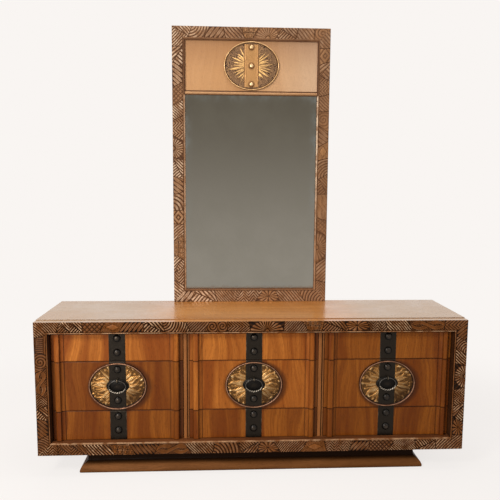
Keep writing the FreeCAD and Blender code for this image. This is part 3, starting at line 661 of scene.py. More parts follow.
# %% [markdown]
# A member of a frame is one board with mitred ends. Its ornaments follow each other between slanted
# cuts. Next to the opening runs a plain strip that is not carved: a rounded bead on the dresser,
# and a thin ridge beside a hollow on the mirror. Each corner of the grid keeps three numbers for
# the finish: its height, how pale its crest is, as rubbed stain and as a painted highlight, and how
# warm that ornament was left. Carving can be made coarser, as the mirror's is, and shallower where it
# is worn.

# %% Plain strips
STRIP = 10.5  # width of the plain strip, in millimetres


def bead_strip(inward):
    """The dresser's strip: how high it stands at a distance from the opening."""
    return 0.1 + 0.9 * np.sqrt(np.clip(1 - ((inward - 5) / 3.3) ** 2, 0, 1))


def hollow_strip(inward):
    """The mirror's strip, likewise."""
    ridge = np.exp(-(((inward - 8.2) / 1.3) ** 2))
    return np.clip(np.maximum(ridge, 0.5 + 0.12 * np.cos(inward)), 0, 1)


print("strips", STRIP, "mm wide")

# %% A row of ornaments
WORN_LEVEL = 0.7  # the share of its depth that worn carving levels out to
RUBBED_AND_SHEEN = {"strokes": 0.9, "leaves": 0.8, "fan": 0.7, "triangles": 0.8, "ribbons": 0.6, "chevrons": 0.6,
          "arcs": 0.6, "zigzags": 0.5}
WARM = {"lozenge": 0.9, "blocks": 0.75, "diamonds": 0.5, "star": 0.5, "ribbons": 0.35, "fan": 0.3}
FINE = ("strokes", "hatching", "chevrons", "triangles", "arcs", "ladder")  # cut to more than one gauge


def ornament(s, t, length, width, names, strip, seed, strip_rub_and_sheen, coarse, shallow):
    """Height, pale rubbing and painted highlight, and warmth at places s along and t across a board, in mm.
    """
    chance = random.Random(seed)
    across = t
    s, t = s + 1.6 * np.sin(s / 23 + t / 17), t + 1.3 * np.sin(s / 31 - t / 19)  # a hand's unsteadiness
    field = width - STRIP
    height, rubbed, warm = np.zeros_like(s), np.zeros_like(s), np.zeros_like(s)
    shares = [chance.uniform(0.8, 1.25) * (1.4 if name in ("fan", "ribbons") else 1) for name in names]
    cuts = np.cumsum([0] + shares) * length / sum(shares)
    slants = [0] + [chance.choice((-0.6, -0.3, 0, 0.3, 0.6)) for _ in names[1:]] + [0]
    for number, name in enumerate(names):
        low = cuts[number] + slants[number] * (t - field / 2)
        high = cuts[number + 1] + slants[number + 1] * (t - field / 2)
        low = low - 1e3 * (number == 0)
        high = high + 1e3 * (number == len(names) - 1)
        here = np.nonzero((s >= low) & (s < high))[0]
        lean = chance.choice((-1, 1))
        run = cuts[number + 1] - cuts[number]
        gauge = coarse * (chance.choice((1.2, 1, 0.9)) if name in FINE else 1)
        along = (s[here] - cuts[number]) / gauge
        form = ORNAMENTS[name](along, t[here] / gauge, run / gauge, field / gauge, lean)
        groove = np.clip(np.minimum(s[here] - low[here], high[here] - s[here]) / 1.8, 0, 1)
        worn = chance.choice((1, 1, 1, 0.9, 0.7))
        height[here] = (WORN_LEVEL + (form - WORN_LEVEL) * worn * shallow) * groove
        rubbed[here] = RUBBED_AND_SHEEN.get(name, 0.2) * chance.choice((0.4, 0.7, 1, 1.3))
        warm[here] = WARM.get(name, 0.12) * chance.uniform(0.6, 1.2)
    inward = width - across
    plain = inward < STRIP
    # the plain strip's ridge is painted pale by strip_rub_and_sheen: a painted highlight
    ridge = np.exp(-(((inward - 5) / 2.2) ** 2))
    height = np.where(plain, strip(inward) * np.clip((STRIP - inward) / 1.2, 0.05, 1), height)
    return height, np.where(plain, strip_rub_and_sheen * ridge, rubbed), np.where(plain, 0.4 * ridge, warm)


print(len(FINE), "ornaments come in more than one gauge")

# %% Carved boards
CARVED_DEPTH, CARVED_STEP = 4.6, 1.5  # millimetres, and how far apart the corners of the grid are


def carved_board(bm, board, face, back, strip, seed, strip_rub_and_sheen=0.15, coarse=1.0, shallow=1.0):
    """A carved board, given as in mitred. face is the y of the crests."""
    corner, along, across, length, width, ends, names = board

    def form(u, v):
        t = v * width
        s = ends[0] * v + u * (length - (ends[0] + ends[1]) * v)
        height, rubbed, warm = ornament(s, t, length, width, names, strip, seed, strip_rub_and_sheen, coarse, shallow)
        arris = np.clip(1 - np.minimum(t, width - t) / 2.2, 0, 1) ** 2
        y = face + CARVED_DEPTH * (1 - height) * (1 - 0.6 * arris) + 2.4 * arris
        x, z = (corner[n] + along[n] * s + across[n] * t for n in (0, 1))
        return x * MM, y * MM, z * MM, {"relief": height, "rubbed": rubbed, "warm": warm}

    made = sheet(bm, round(length / CARVED_STEP), round(width / CARVED_STEP), form)
    front = set(bm.faces)
    close(bm, made, back * MM)
    second_finish(bm, front)


def mitred(low, high, stile, top, foot, names):
    """The four boards of a frame, in millimetres: the outer corner, the ways along and across, length
    and width, how far each mitre cuts in at the inner edge, and the ornaments."""
    wide, tall = high.x - low.x, high.z - low.z
    return {
        "top_rail": ((low.x, high.z), (1, 0), (0, -1), wide, top, (stile, stile), names[0]),
        "bottom_rail": ((low.x, low.z), (1, 0), (0, 1), wide, foot, (stile, stile), names[1]),
        "left_stile": ((low.x, low.z), (0, 1), (1, 0), tall, stile, (foot, top), names[2]),
        "right_stile": ((high.x, low.z), (0, 1), (-1, 0), tall, stile, (foot, top), names[3]),
    }


def frame_box(left, right):
    """The corners of the box round a frame's two stiles, in millimetres."""
    return Vector(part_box(left)[0]) / MM, Vector(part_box(right)[1]) / MM


print("carving depth", CARVED_DEPTH, "mm")

# %% [markdown]
# The stain on the carving is nearly black in the cuts, partly stain and partly painted shade, and brown
# on the crests. Hands and cloths have rubbed some crests to a pale pinkish tan, and the same pale colour
# stands in for the crests' highlights as a painted highlight. Smooth ornaments kept a warmer orange brown.
# The mask for the pale crests is uneven, so that a crest is bright here and dull there.

# %% Carved finish
def carved_finish(name, groove, body, warm_tone, rub_and_sheen_tone, rub_and_sheen, rub_and_sheen_from):
    """Stained carving in four display colours. rub_and_sheen is how pale crests get above a height,
    rub_and_sheen_from: rubbed stain and a painted highlight.
    """
    material, tree, shader, place = new_material(name)
    groove, body, warm_tone, rub_and_sheen_tone = (tone(*colour) for colour in (groove, body, warm_tone, rub_and_sheen_tone))
    relief, rubbed, warm = (kept(tree, label) for label in ("relief", "rubbed", "warm"))
    grain = grouped(tree, grain_group, {"Vector": place, "Bands": 30, "Fineness": 160})
    wear = grouped(tree, wear_group, {"Vector": place, "Scale": 26.0})
    dull = blend(tree, 0.35, body, groove)
    patchy = blend(tree, limits(tree, cloud(tree, place, 11, 2), 0.4, 0.65), body, dull)
    # nearly black in the cuts: stain, and painted shade
    colour = blend(tree, limits(tree, relief, 0.2, 0.85), groove, patchy)
    warmed = times(tree, limits(tree, relief, 0.35, 0.85), warm)
    colour = blend(tree, warmed, colour, warm_tone)
    # pale crests: rubbed stain and a painted highlight
    crest = times(tree, limits(tree, relief, rub_and_sheen_from, 0.99), rubbed)
    crest = times(tree, crest, limits(tree, wear["Patches"], 0.1, 0.8, 0.1, rub_and_sheen))
    colour = blend(tree, crest, colour, rub_and_sheen_tone)
    colour = blend(tree, times(tree, grain["Streaks"], 0.3), colour, groove)
    feed(tree, shader.inputs["Base Color"], colour)
    feed(tree, shader.inputs["Roughness"], limits(tree, relief, 0, 1, 0.6, 0.36))
    shader.inputs["Specular IOR Level"].default_value = 0.08
    bump(tree, shader, sum_of(tree, "ADD", grain["Streaks"], wear["Scuffs"]), 0.0003, 0.5)
    return material


carved_wood = carved_finish("carved walnut", (20, 7, 1), (118, 70, 34), (140, 82, 36), (222, 182, 142),
                            1.0, 0.8)
carved_light = carved_finish("lit carved walnut", (78, 50, 33), (145, 103, 70), (170, 122, 79),
                             (236, 206, 174), 0.66, 0.5)
print("carved finishes ready")

# %% [markdown]
# ### The dresser's frame
#
# Four boards stand 45 mm in front of the case. The top rail's upper edge belongs to the top's light
# surface, and so it takes the top's finish instead of the frame's, and the flag against the rear
# lamp. The stiles carry painted shade where they turn in to the drawers. The beads along the top rail's
# lower edge and over the bottom rail are painted pale as a painted highlight.

# %% Frame of the dresser
low, high = frame_box("frame_left_stile", "frame_right_stile")
FACE, FRAME_BACK = low.y, high.y
STILE, TOP_RAIL, BOTTOM_RAIL = 62, 56, 59
INNER_EDGE = (high.x - STILE + 3) * MM
BEAD_FOOT = (low.z + BOTTOM_RAIL - STRIP + 1) * MM
CARVED = [
    ["strokes", "triangles", "hatching", "lozenge", "leaves", "triangles", "arcs", "strokes", "spirals",
     "chevrons", "fan", "strokes", "blocks", "triangles", "star", "zigzags", "strokes", "ribbons",
     "chevrons"],
    ["zigzags", "triangles", "strokes", "blocks", "leaves", "ribbons", "strokes", "arcs", "triangles",
     "star", "strokes", "lozenge", "zigzags", "leaves", "hatching", "chevrons", "triangles", "strokes"],
    ["arcs", "leaves", "triangles", "chevrons", "ribbons", "spirals", "ladder", "strokes"],
    ["strokes", "star", "triangles", "zigzags", "fan", "strokes", "arcs", "leaves"],
]
for seed, (member, board) in enumerate(mitred(low, high, STILE, TOP_RAIL, BOTTOM_RAIL, CARVED).items()):
    on_top = member == "top_rail"
    bm = fresh()
    # the top rail's bead gets a strong painted highlight
    carved_board(bm, board, FACE, FRAME_BACK, bead_strip, seed, 0.75 if on_top else 0.15)
    layer = bm.verts.layers.float
    for vert in bm.verts:
        # painted shade on the stiles' inner edges, where they turn in to the drawers
        if "stile" in member and abs(vert.co.x) < INNER_EDGE:
            vert[layer["glaze"]] = 0.85
        # the bead over the bottom rail is painted pale and warm: a painted highlight
        if member == "bottom_rail" and vert.co.z > BEAD_FOOT:
            vert[layer["relief"]], vert[layer["rubbed"]], vert[layer["warm"]] = 1, 0.42, 0.3
    made = piece(f"carved_{member}", bm, "case", [carved_wood, top_wood if on_top else ledge_wood],
                 [f"frame_{member}"], sharp=28)
    if on_top:
        flag(rear, made)
    print(made.name, len(made.data.polygons), "faces")

# %% [markdown]
# ### The mirror's frame
#
# The same carving goes round the mirror on narrower stock. It is coarser, and worn almost flat on the
# right, where it has less painted highlight. Its inner edge has a painted highlight beside the glass,
# and painted shade beside the panel. Behind its front part each member steps back from the opening,
# which leaves the rebate that the glass lies in.

# %% Frame of the mirror
low, high = frame_box("mirror_left_stile", "mirror_right_stile")
MIRROR_FACE, LIP_BACK, MIRROR_BACK = low.y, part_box("mirror_glass")[0].y / MM, high.y
M_STILE, M_TOP, M_LOW, REBATE = 64, 65, 70, 10
SIGHT = (high.x - M_STILE + 7) * MM  # how far out the edge beside the glass and panel is painted
PANEL_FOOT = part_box("mirror_cross_rail")[0].z
SIGHT_HIGHLIGHT = {"left_stile": ((0.8, 1.8), (0.35, 0.5)), "right_stile": ((0.9, 1.3, 1.7), (0.2, 0.9, 2.0))}
RUB_AND_SHEEN_ENDS = ((0, 0.3), (1, 0.35))  # the right half is rubbed less and has less painted highlight
SHALLOW = {"top_rail": 0.7, "bottom_rail": 0.8, "left_stile": 0.85, "right_stile": 0.5}
M_CARVED = [
    ["triangles", "arcs", "leaves", "strokes", "blocks", "fan", "triangles", "strokes", "spirals"],
    ["leaves", "triangles", "strokes", "zigzags", "star", "strokes", "arcs"],
    ["strokes", "chevrons", "triangles", "blocks", "strokes", "diamonds", "arcs", "leaves", "triangles",
     "fan", "zigzags", "strokes", "hatching", "leaves", "triangles", "strokes"],
    ["chevrons", "strokes", "fan", "hatching", "ribbons", "triangles", "arcs", "lozenge", "leaves",
     "spirals", "strokes", "zigzags", "triangles", "diamonds", "strokes"],
]
for seed, (member, board) in enumerate(mitred(low, high, M_STILE, M_TOP, M_LOW, M_CARVED).items(), 20):
    bm = fresh()
    carved_board(bm, board, MIRROR_FACE, LIP_BACK, hollow_strip, seed, coarse=1.25,
                 shallow=SHALLOW[member])
    relief, rubbed = (bm.verts.layers.float[label] for label in ("relief", "rubbed"))
    for vert in bm.verts:
        vert[rubbed] *= float(np.interp(vert.co.x, *RUB_AND_SHEEN_ENDS))
        # painted highlight on the edge beside the glass, painted shade beside the panel
        if "stile" in member and abs(vert.co.x) < SIGHT:
            beside_glass = vert.co.z < PANEL_FOOT
            vert[relief] = 1.0 if beside_glass else 0.3
            vert[rubbed] = float(np.interp(vert.co.z, *SIGHT_HIGHLIGHT[member])) if beside_glass else 0
    corner, along, across, length, width, ends, _ = board
    cheek, share = width - REBATE, (width - REBATE) / width
    outline = [(0, 0), (length, 0), (length - ends[1] * share, cheek), (ends[0] * share, cheek)]
    places = [[(corner[n] + along[n] * s + across[n] * t) * MM for n in (0, 1)] for s, t in outline]
    carved = set(bm.faces)
    prism(bm, places, "y", LIP_BACK * MM, MIRROR_BACK * MM)
    second_finish(bm, carved)
    made = piece(f"carved_mirror_{member}", bm, "case", [carved_light, ledge_wood], [f"mirror_{member}"])
    print(made.name, len(made.data.polygons), "faces")

# %% [markdown]
# ## Drawer fronts
#
# Seen from above, a front has a flat margin at each end, a proud band with one rounded edge, a hollow
# moulding, and the flat field. A bar with that section, stood upright, gives the whole form, and a
# small bevel takes the sharpness off the edges at the seams. The middle fronts have an oval let
# into them for the medallion, cut by a Boolean modifier that is applied at once. The corners of the
# moulding and the seams are darkened, partly as glaze and partly as painted shade, and the margin
# beside a partition carries a painted shadow of the band. No two boards took the stain alike, so each
# front also has its own depth of stain.

# %% Section of a drawer front
BAYS = {"left": -627, "centre": 0, "right": 627}
ROWS = ("bottom", "middle", "top")
OVAL_Z, OVAL_HALF = 421, (132.5, 111)  # middle and half size of a drawer's medallion, over its rim
RIM = 10  # width of a medallion's rim
FIELD, STRAP_FACE = FACE + 35, FACE + 32  # the flat field behind the straps, and their faces


def arc(centre, radii, start, end, steps=6):
    """Points on part of an ellipse between two angles in degrees."""
    angles = [math.radians(start + (end - start) * n / steps) for n in range(steps + 1)]
    return [(centre[0] + radii[0] * math.cos(a), centre[1] + radii[1] * math.sin(a)) for a in angles]


# the section's right half: millimetres from the middle, and behind the frame's face
half = [(299, 58), (299, 37), (296, 37), (285, 37), (282, 37), (282, 32)] + arc((272, 30), (10, 10), 0, -90)
half += [(261, 20), (258, 20)] + arc((240, 24), (18, 9), 0, 90) + [(240, 35), (236, 35)]
section = half + [(-x, y) for x, y in reversed(half)]
# glaze and painted shade in the moulding's corners and beside the gaps
SECTION_GLAZE_AND_SHADE = ((236, 0), (238.5, 0.8), (241, 0.5), (243, 0), (255, 0.1), (257.5, 0.55), (259.5, 0), (278, 0),
          (282, 0.5), (286, 0.1), (296, 0.1), (299, 0.8))  # how dark at a distance from the middle
print(len(section), "corners in a front's section")


# %% Oval for a medallion
def oval_cutter(x):
    """A short oval bar that a Boolean takes out of a middle front."""
    bm = bmesh.new()
    ring = arc((x, OVAL_Z), [size - RIM / 2 + 0.2 for size in OVAL_HALF], 0, 360, 120)[:-1]
    prism(bm, [(a * MM, b * MM) for a, b in ring], "y", (FIELD - 5) * MM, (FIELD + 4) * MM)
    bmesh.ops.recalc_face_normals(bm, faces=bm.faces)
    mesh = bpy.data.meshes.new("oval")
    bm.to_mesh(mesh)
    bm.free()
    made = bpy.data.objects.new("oval", mesh)
    scene.collection.objects.link(made)
    return made


def carve_out(target, cutter, numbers):
    """Applies a Boolean difference to a finished piece and removes the cutter. The new corners get the
    piece's numbers again."""
    cut = target.modifiers.new("oval", "BOOLEAN")
    cut.object, cut.solver = cutter, "EXACT"
    bpy.context.view_layer.update()
    whole = target.evaluated_get(bpy.context.evaluated_depsgraph_get())
    target.data = bpy.data.meshes.new_from_object(whole)
    target.modifiers.clear()
    shade(target.data)
    for label, value in numbers.items():
        target.data.attributes[label].data.foreach_set("value", [value] * len(target.data.vertices))
    bpy.data.objects.remove(cutter)


print("ovals", [2 * size for size in OVAL_HALF], "mm over the rim")

# %% Nine drawer fronts
BEVEL_ROW = 5  # millimetres from each seam to a row of corners that ends the bevel's shading
STAINED = {"left": (0.76, 0.72, 0.1), "centre": (0.68, 0.2, 0.14), "right": (0.84, 0.72, 0.66)}

for bay, middle in BAYS.items():
    for row, stained in zip(ROWS, STAINED[bay]):
        name = f"{row}_drawer_{bay}"
        low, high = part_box(name + "_front")

        def from_seam(vert):
            """How far a corner is from the nearer seam."""
            return min(vert.co.z - low.z, high.z - vert.co.z)

        bm = fresh()
        prism(bm, [((middle + x) * MM, (FACE + y) * MM) for x, y in section], "z", low.z, high.z)
        for cut in (low.z + BEVEL_ROW * MM, high.z - BEVEL_ROW * MM):
            everything = bm.verts[:] + bm.edges[:] + bm.faces[:]
            bmesh.ops.bisect_plane(bm, geom=everything, plane_co=(0, 0, cut), plane_no=(0, 0, 1))
        soften(bm, [edge for edge in bm.edges if all(from_seam(v) < 1e-6 for v in edge.verts)], 1.2 * MM)
        glaze = bm.verts.layers.float["glaze"]
        for vert in bm.verts:
            aside = vert.co.x / MM - middle
            shaded = 0.7 if aside > 282.5 and bay != "right" else 0  # painted shadow of the band on the margin beside a partition's groove
            # darker at the seams: partly dirt, partly painted shade
            at_seam = 0.75 - from_seam(vert) / MM / 3
            vert[glaze] = max(float(np.interp(abs(aside), *zip(*SECTION_GLAZE_AND_SHADE))), shaded, at_seam)
        numbers = {"board": sum(map(ord, name)) % 17 * 0.61, "stain": stained}
        made = piece(name + "_face", bm, name, [drawer_wood], [name + "_front"], numbers)
        if row == "middle":
            carve_out(made, oval_cutter(middle), numbers)
print(len(BAYS) * len(ROWS), "drawer fronts")

# %% [markdown]
# ## Metals
#
# The straps are black iron with a little olive rust at their rubbed edges, and the rings are paler on
# their crests, partly where hands take them and partly as a painted highlight. The drawers' medallions
# are gilt over brown in a bronze rim, and the mirror's is paler brass with polished nails. They are one
# recipe with other colours: dirt in the hollows, the metal's own colour between, and a bright colour on
# the crests, partly rubbed metal and partly a painted highlight, all broken up by the wear group. Metals
# take nearly all their brightness from what they reflect, so most of these are a little less than fully
# metallic.


# %% Metal recipe
def aged_metal(name, recess, body, bright, metallic, rough, coat=0.0, depth=0.0004):
    """A metal in three display colours, with a patina that follows the relief kept in its mesh."""
    material, tree, shader, place = new_material(name)
    recess, body, bright = (tone(*colour) for colour in (recess, body, bright))
    relief, glaze = (kept(tree, label) for label in ("relief", "glaze"))
    wear = grouped(tree, wear_group, {"Vector": place, "Scale": 34.0})
    colour = blend(tree, limits(tree, relief, 0.0, 0.55), recess, body)
    # bright crests: rubbed metal and a painted highlight
    rub_and_sheen = times(tree, limits(tree, relief, 0.6, 1), limits(tree, wear["Patches"], 0, 1, 0.35, 1))
    colour = blend(tree, rub_and_sheen, colour, bright)
    colour = blend(tree, times(tree, wear["Scuffs"], 0.5), colour, recess)
    # glaze: tarnish and black iron, and painted shadow round the header nails
    colour = blend(tree, glaze, colour, recess)
    feed(tree, shader.inputs["Base Color"], colour)
    feed(tree, shader.inputs["Roughness"], limits(tree, wear["Patches"], 0, 1, rough + 0.12, rough - 0.06))
    shader.inputs["Metallic"].default_value = metallic
    shader.inputs["Specular IOR Level"].default_value = 0.3
    shader.inputs["Coat Weight"].default_value = coat
    shader.inputs["Coat Roughness"].default_value = 0.13
    bump(tree, shader, wear["Scuffs"], depth, 0.5)
    return material


print("metal recipe ready")

# %% Eight metals
iron = aged_metal("black iron", (15, 12, 9), (35, 29, 22), (112, 99, 80), 0.75, 0.34, depth=0.0006)
nail_iron = aged_metal("nail iron", (10, 8, 7), (21, 17, 13), (62, 52, 41), 0.8, 0.27, 0.15)
worn_iron = aged_metal("handled iron", (24, 21, 18), (60, 54, 46), (236, 220, 196), 0.7, 0.28, 0.5)
gilt = aged_metal("gilt", (52, 31, 13), (146, 102, 52), (244, 214, 160), 0.8, 0.36)
bronze = aged_metal("bronze rim", (34, 18, 10), (74, 44, 28), (160, 118, 90), 0.7, 0.42)
brass = aged_metal("pale brass", (74, 48, 28), (170, 126, 78), (232, 190, 136), 0.7, 0.42)
antique = aged_metal("brown brass", (58, 43, 34), (130, 98, 68), (226, 180, 114), 0.75, 0.42)
nail_brass = aged_metal("polished brass", (74, 48, 26), (176, 136, 88), (236, 208, 164), 0.75, 0.3, 0.3)
print("eight metals")

# %% [markdown]
# ### Straps, nails and pull plates
#
# A strap is a strip of iron with a beaten face. The face is a grid with shallow dents from noise, its
# long edges are worn round, and its rim is pulled back to the wood. A nail is a round sheet raised to
# a dome with a thin lip, and the plate behind each ring is the same sheet on an oval.


# %% Straps and caps
STRAP_WIDTH = 75


def beaten(x, z, size, seed=0.0):
    """Shallow hammer dents at places in millimetres, from -1 to 1."""
    return np.array([noise.noise(Vector((a / size, seed, b / size))) for a, b in zip(x, z)])


def strap(bm, x, low, high):
    """A strap of iron from one height to another. Sizes are millimetres."""
    def form(u, v):
        across, up = (u - 0.5) * STRAP_WIDTH, low + v * (high - low)
        side = STRAP_WIDTH / 2 - np.abs(across)
        rim = np.minimum(side, np.minimum(up - low, high - up))
        arris = np.clip(1 - rim / 2.4, 0, 1) ** 2
        y = STRAP_FACE + 1.3 * arris + 0.25 * (1 + beaten(across + x, up, 17))
        rust = 0.5 + 0.5 * np.clip(1 - side / 4, 0, 1) * (0.5 + beaten(across + x, up, 30, 5.0))
        return (x + across) * MM, y * MM, up * MM, {"relief": rust, "glaze": 0}

    made = sheet(bm, round(STRAP_WIDTH / 2.2), round((high - low) / 2.5), form)
    close(bm, made, FIELD * MM)


def cap(bm, x, z, half_x, half_z, base, rise, lip=1.2, rings=12, spokes=40, dents=0.25, crest=0.95,
        black=0.0):
    """A domed plate with a thin lip, round or oval, standing out to the front from y = base. It is
    black, as far as that is asked for, all round a middle left paler as a painted highlight, and its crest
    is painted paler too."""
    def form(u, v):
        angle = 2 * math.pi * u
        dx, dz = half_x * v * np.cos(angle), half_z * v * np.sin(angle)
        body = np.sqrt(np.clip(1 - (v / 0.93) ** 2, 0, 1))
        bulge = lip + (rise - lip) * body - dents * (1 - v) * (1 + beaten(x + dx, z + dz, 6)) / 2
        bulge = np.where(v > 0.985, lip * 0.5, bulge)
        relief = 0.35 + (crest - 0.35) * body ** 2
        black_here = black * np.clip((v - 0.08) / 0.3, 0, 1)
        return (x + dx) * MM, (base - bulge) * MM, (z + dz) * MM, {"relief": relief, "glaze": black_here}

    made = sheet(bm, spokes, rings, form)
    weld(bm, made)
    close(bm, made, base * MM)


print("straps", STRAP_WIDTH, "mm wide")


# %% Wire and staples
def wire(bm, line, flat, radius, steps, sides=12):
    """A wire round a line that lies in a plane. line and radius are functions of the way along, from
    0 to 1, and flat is the plane's normal."""
    def form(u, v):
        middle, tangent = line(u), line(u + 1e-4) - line(u - 1e-4)
        tangent /= np.linalg.norm(tangent, axis=1)[:, None]
        side = np.cross(tangent, flat)
        turn = 2 * math.pi * v
        thick = radius(u, turn)
        aside, out = ((thick * part(turn))[:, None] for part in (np.cos, np.sin))
        x, y, z = (middle + aside * side + out * np.array(flat)).T * MM
        # paler on the thickest part of the section: partly polish from hands, partly a painted highlight
        return x, y, z, {"relief": 0.35 + 0.6 * np.clip((thick / thick.max() - 0.85) / 0.15, 0, 1)}

    made = sheet(bm, steps, sides, form)
    weld(bm, made)
    rim = [edge for vert in made if vert.is_valid for edge in vert.link_edges if edge.is_boundary]
    if rim:
        bmesh.ops.holes_fill(bm, edges=list(set(rim)), sides=0)


PULL_Y, PIVOT_Z, PULL_Z = FACE + 18, 450.5, 422  # the ring's plane, its pivot and its middle
STAPLE_REACH, STAPLE_WIRE = 6.0, 2.2  # from the pivot to the staple's middle line, and its radius


def staple_line(x):
    """The staple's middle line: a leg, half a circle round the ring's wire, and the other leg."""
    leg, bend = STRAP_FACE - PULL_Y, math.pi * STAPLE_REACH
    def line(u):
        s = u * (2 * leg + bend)
        turn = np.clip((s - leg) / STAPLE_REACH, 0, math.pi)
        away = np.where(s < leg, leg - s, np.where(s > leg + bend, s - leg - bend, 0))
        y = PULL_Y + away - STAPLE_REACH * np.sin(turn)
        z = PIVOT_Z + STAPLE_REACH * np.cos(turn)
        return np.stack([np.full_like(s, x), y, z], 1)
    return line


print("staples of wire", 2 * STAPLE_WIRE, "mm thick")

# %% Ironwork of the drawers
NAIL_RADIUS, NAIL_RISE = 18, 11.3
BOSS_HALF, BOSS_RISE = (52, 33), 8  # the oval plate behind each ring

for bay, middle in BAYS.items():
    for row in ROWS:
        name = f"{row}_drawer_{bay}"
        low, high = (corner.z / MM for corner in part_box(name + "_front"))
        bm = fresh()
        strap(bm, middle, low, high)
        nails = [high - 25, high - 92] if row != "middle" else [OVAL_Z + 79, OVAL_Z - 67]
        flat = set(bm.faces)
        for height in nails:
            cap(bm, middle, height, NAIL_RADIUS, NAIL_RADIUS, STRAP_FACE + 0.3, NAIL_RISE)
        second_finish(bm, flat)
        if row == "middle":
            cap(bm, middle, OVAL_Z, *BOSS_HALF, STRAP_FACE, BOSS_RISE, lip=1.5, rings=20, spokes=72,
                dents=0.8, crest=0.5, black=0.9)
            wire(bm, staple_line(middle), (1, 0, 0), lambda u, turn: np.full_like(u, STAPLE_WIRE), 40)
        piece(name + "_ironwork", bm, name, [iron, nail_iron], [name + "_strap"])
print("nine straps,", 2 * 9, "nails")

# %% [markdown]
# ### Ring pulls
#
# The ring is a plain wire where it hangs in its staple, and swells into two twisted strands below.
# The twist comes from the wire's radius: it has two lobes that turn round it on the way along.

# %% Ring pulls
RING_HALF, TWISTS = (38.5, 28.5), 11
THIN, THICK = 2.5, 3.5  # radius of the wire at the top, and of the twisted part below


def ring_line(x):
    """The ring's middle line, an oval."""
    def line(u):
        angle = 2 * math.pi * u
        return np.stack([x + RING_HALF[0] * np.cos(angle), np.full_like(u, PULL_Y),
                         PULL_Z + RING_HALF[1] * np.sin(angle)], 1)
    return line


def rope(u, turn):
    """Radius of the ring's wire at a share of the way round it and a turn round its section."""
    twisted = np.clip(0.2 - 2.2 * np.sin(2 * math.pi * u), 0, 1)
    strands = 0.7 + 0.3 * np.abs(np.cos(turn - 2 * math.pi * TWISTS * u))
    return THIN * (1 - twisted) + THICK * strands * twisted


for bay, middle in BAYS.items():
    bm = fresh()
    wire(bm, ring_line(middle), (0, 1, 0), rope, 260, 20)
    piece(f"ring_{bay}", bm, f"ring_pull_{bay}", [worn_iron], [f"ring_pull_{bay}"], sharp=70)
print("three rings")

# %% [markdown]
# ### Medallions
#
# A medallion is an oval plate inside a raised rim. Tongues of flame run out from its middle. Each one
# is a sharp-ended ridge at its own angle, with its own length, width and bend, and a corner of the
# plate is as high as the highest flame over it. Between the flames the ground is uneven. Under the
# strap the plate stays flat, so that the iron lies on it, and the rim keeps clear of the strap too.


# %% Flames
def flames(count, seed, reach, width, wave, inner):
    """Angle, half width, length, bend, the bend's phase and the start of each flame, drawn from a
    fixed seed. Lengths are shares of the radius."""
    chance = random.Random(seed)
    return [((n + chance.uniform(-0.22, 0.22)) * 2 * math.pi / count, width * chance.uniform(0.75, 1.3),
             chance.uniform(*reach), chance.uniform(-wave, wave), chance.uniform(0, 6), inner)
            for n in range(count)]


def flame_height(angle, radius, tongues, tip=3):
    """The highest flame at each angle and share of the radius, from 0 to 1. A higher tip is blunter."""
    height = np.zeros_like(angle)
    for middle, width, reach, wave, phase, inner in tongues:
        way = np.clip((radius - inner) / (reach - inner), 0, 1)
        bent = middle + wave * np.sin(3.0 * way * math.pi * 0.7 + phase) * way
        off = np.abs((angle - bent + math.pi) % (2 * math.pi) - math.pi)
        belly = 0.30 + 0.70 * np.sin(math.pi * np.clip(way * 0.8 + 0.2, 0, 1)) ** 0.8
        across = off / np.maximum(width * belly * (1 - way ** tip), 1e-4)
        ridge = np.clip(1 - across ** 1.6, 0, 1) * (1 - 0.35 * np.exp(-((across / 0.16) ** 2)))
        ridge = ridge * np.where((radius > inner) & (way < 1), 1 - 0.25 * way, 0)
        height = np.maximum(height, ridge)
    return height


print("flames ready")

# %% Plates and rims
UNDER_STRAP, STRAP_HEIGHT = 38.2, 3.2  # half the strap's width and its height off the field, with play


def oval_plate(bm, x, z, halves, back, ground, form_height):
    """An oval plate from a form that gives height over the ground in millimetres, and its numbers."""
    def form(u, v):
        angle = 2 * math.pi * u
        dx, dz = halves[0] * v * np.cos(angle), halves[1] * v * np.sin(angle)
        raised, numbers = form_height(dx, dz, np.arctan2(dz, dx), v)
        return (x + dx) * MM, (ground - raised) * MM, (z + dz) * MM, numbers

    made = sheet(bm, 420, 62, form)
    weld(bm, made)
    close(bm, made, back * MM)


def oval_rim(bm, x, z, halves, back, section):
    """A rim with a section of places across its width, from the outside in, and heights. It is the
    piece's second material."""
    plate = set(bm.faces)
    loop = np.array([(0, 0)] + section + [(RIM, 0), (0, 0)], float)

    def form(u, v):
        angle, spot = 2 * math.pi * u, loop[np.round(v * (len(loop) - 1)).astype(int)]
        dx, dz = (halves[0] - spot[:, 0]) * np.cos(angle), (halves[1] - spot[:, 0]) * np.sin(angle)
        floor = np.where((np.abs(dx) < UNDER_STRAP) & (back == FIELD), STRAP_HEIGHT, 0)
        y = back - np.maximum(spot[:, 1], floor)
        # the rim's crest is paler: partly worn bronze, partly a painted highlight
        relief = np.clip((spot[:, 1] - 6.0) / (loop[:, 1].max() - 6.0), 0, 1)
        return (x + dx) * MM, y * MM, (z + dz) * MM, {"relief": relief}

    weld(bm, sheet(bm, 240, len(loop) - 1, form))
    second_finish(bm, plate)


print("rims", RIM, "mm wide")

# %% [markdown]
# On the drawers the flames are broad and crowded, in two layers, and nearly reach the rim. The gold
# is painted darker towards the lower right, away from the light, as painted shade.

# %% Drawer medallions
PLATE = [size - RIM / 2 for size in OVAL_HALF]
TARNISH = {"left": 0, "centre": 0.03, "right": 0.18}
ROLL = [(0, 5.5), (0.9, 7.6), (2.6, 8.8), (4.4, 9), (6.2, 8.3), (7.4, 6.6), (8.0, 4.8), (9.0, 4.2),
        (RIM, 3.9)]


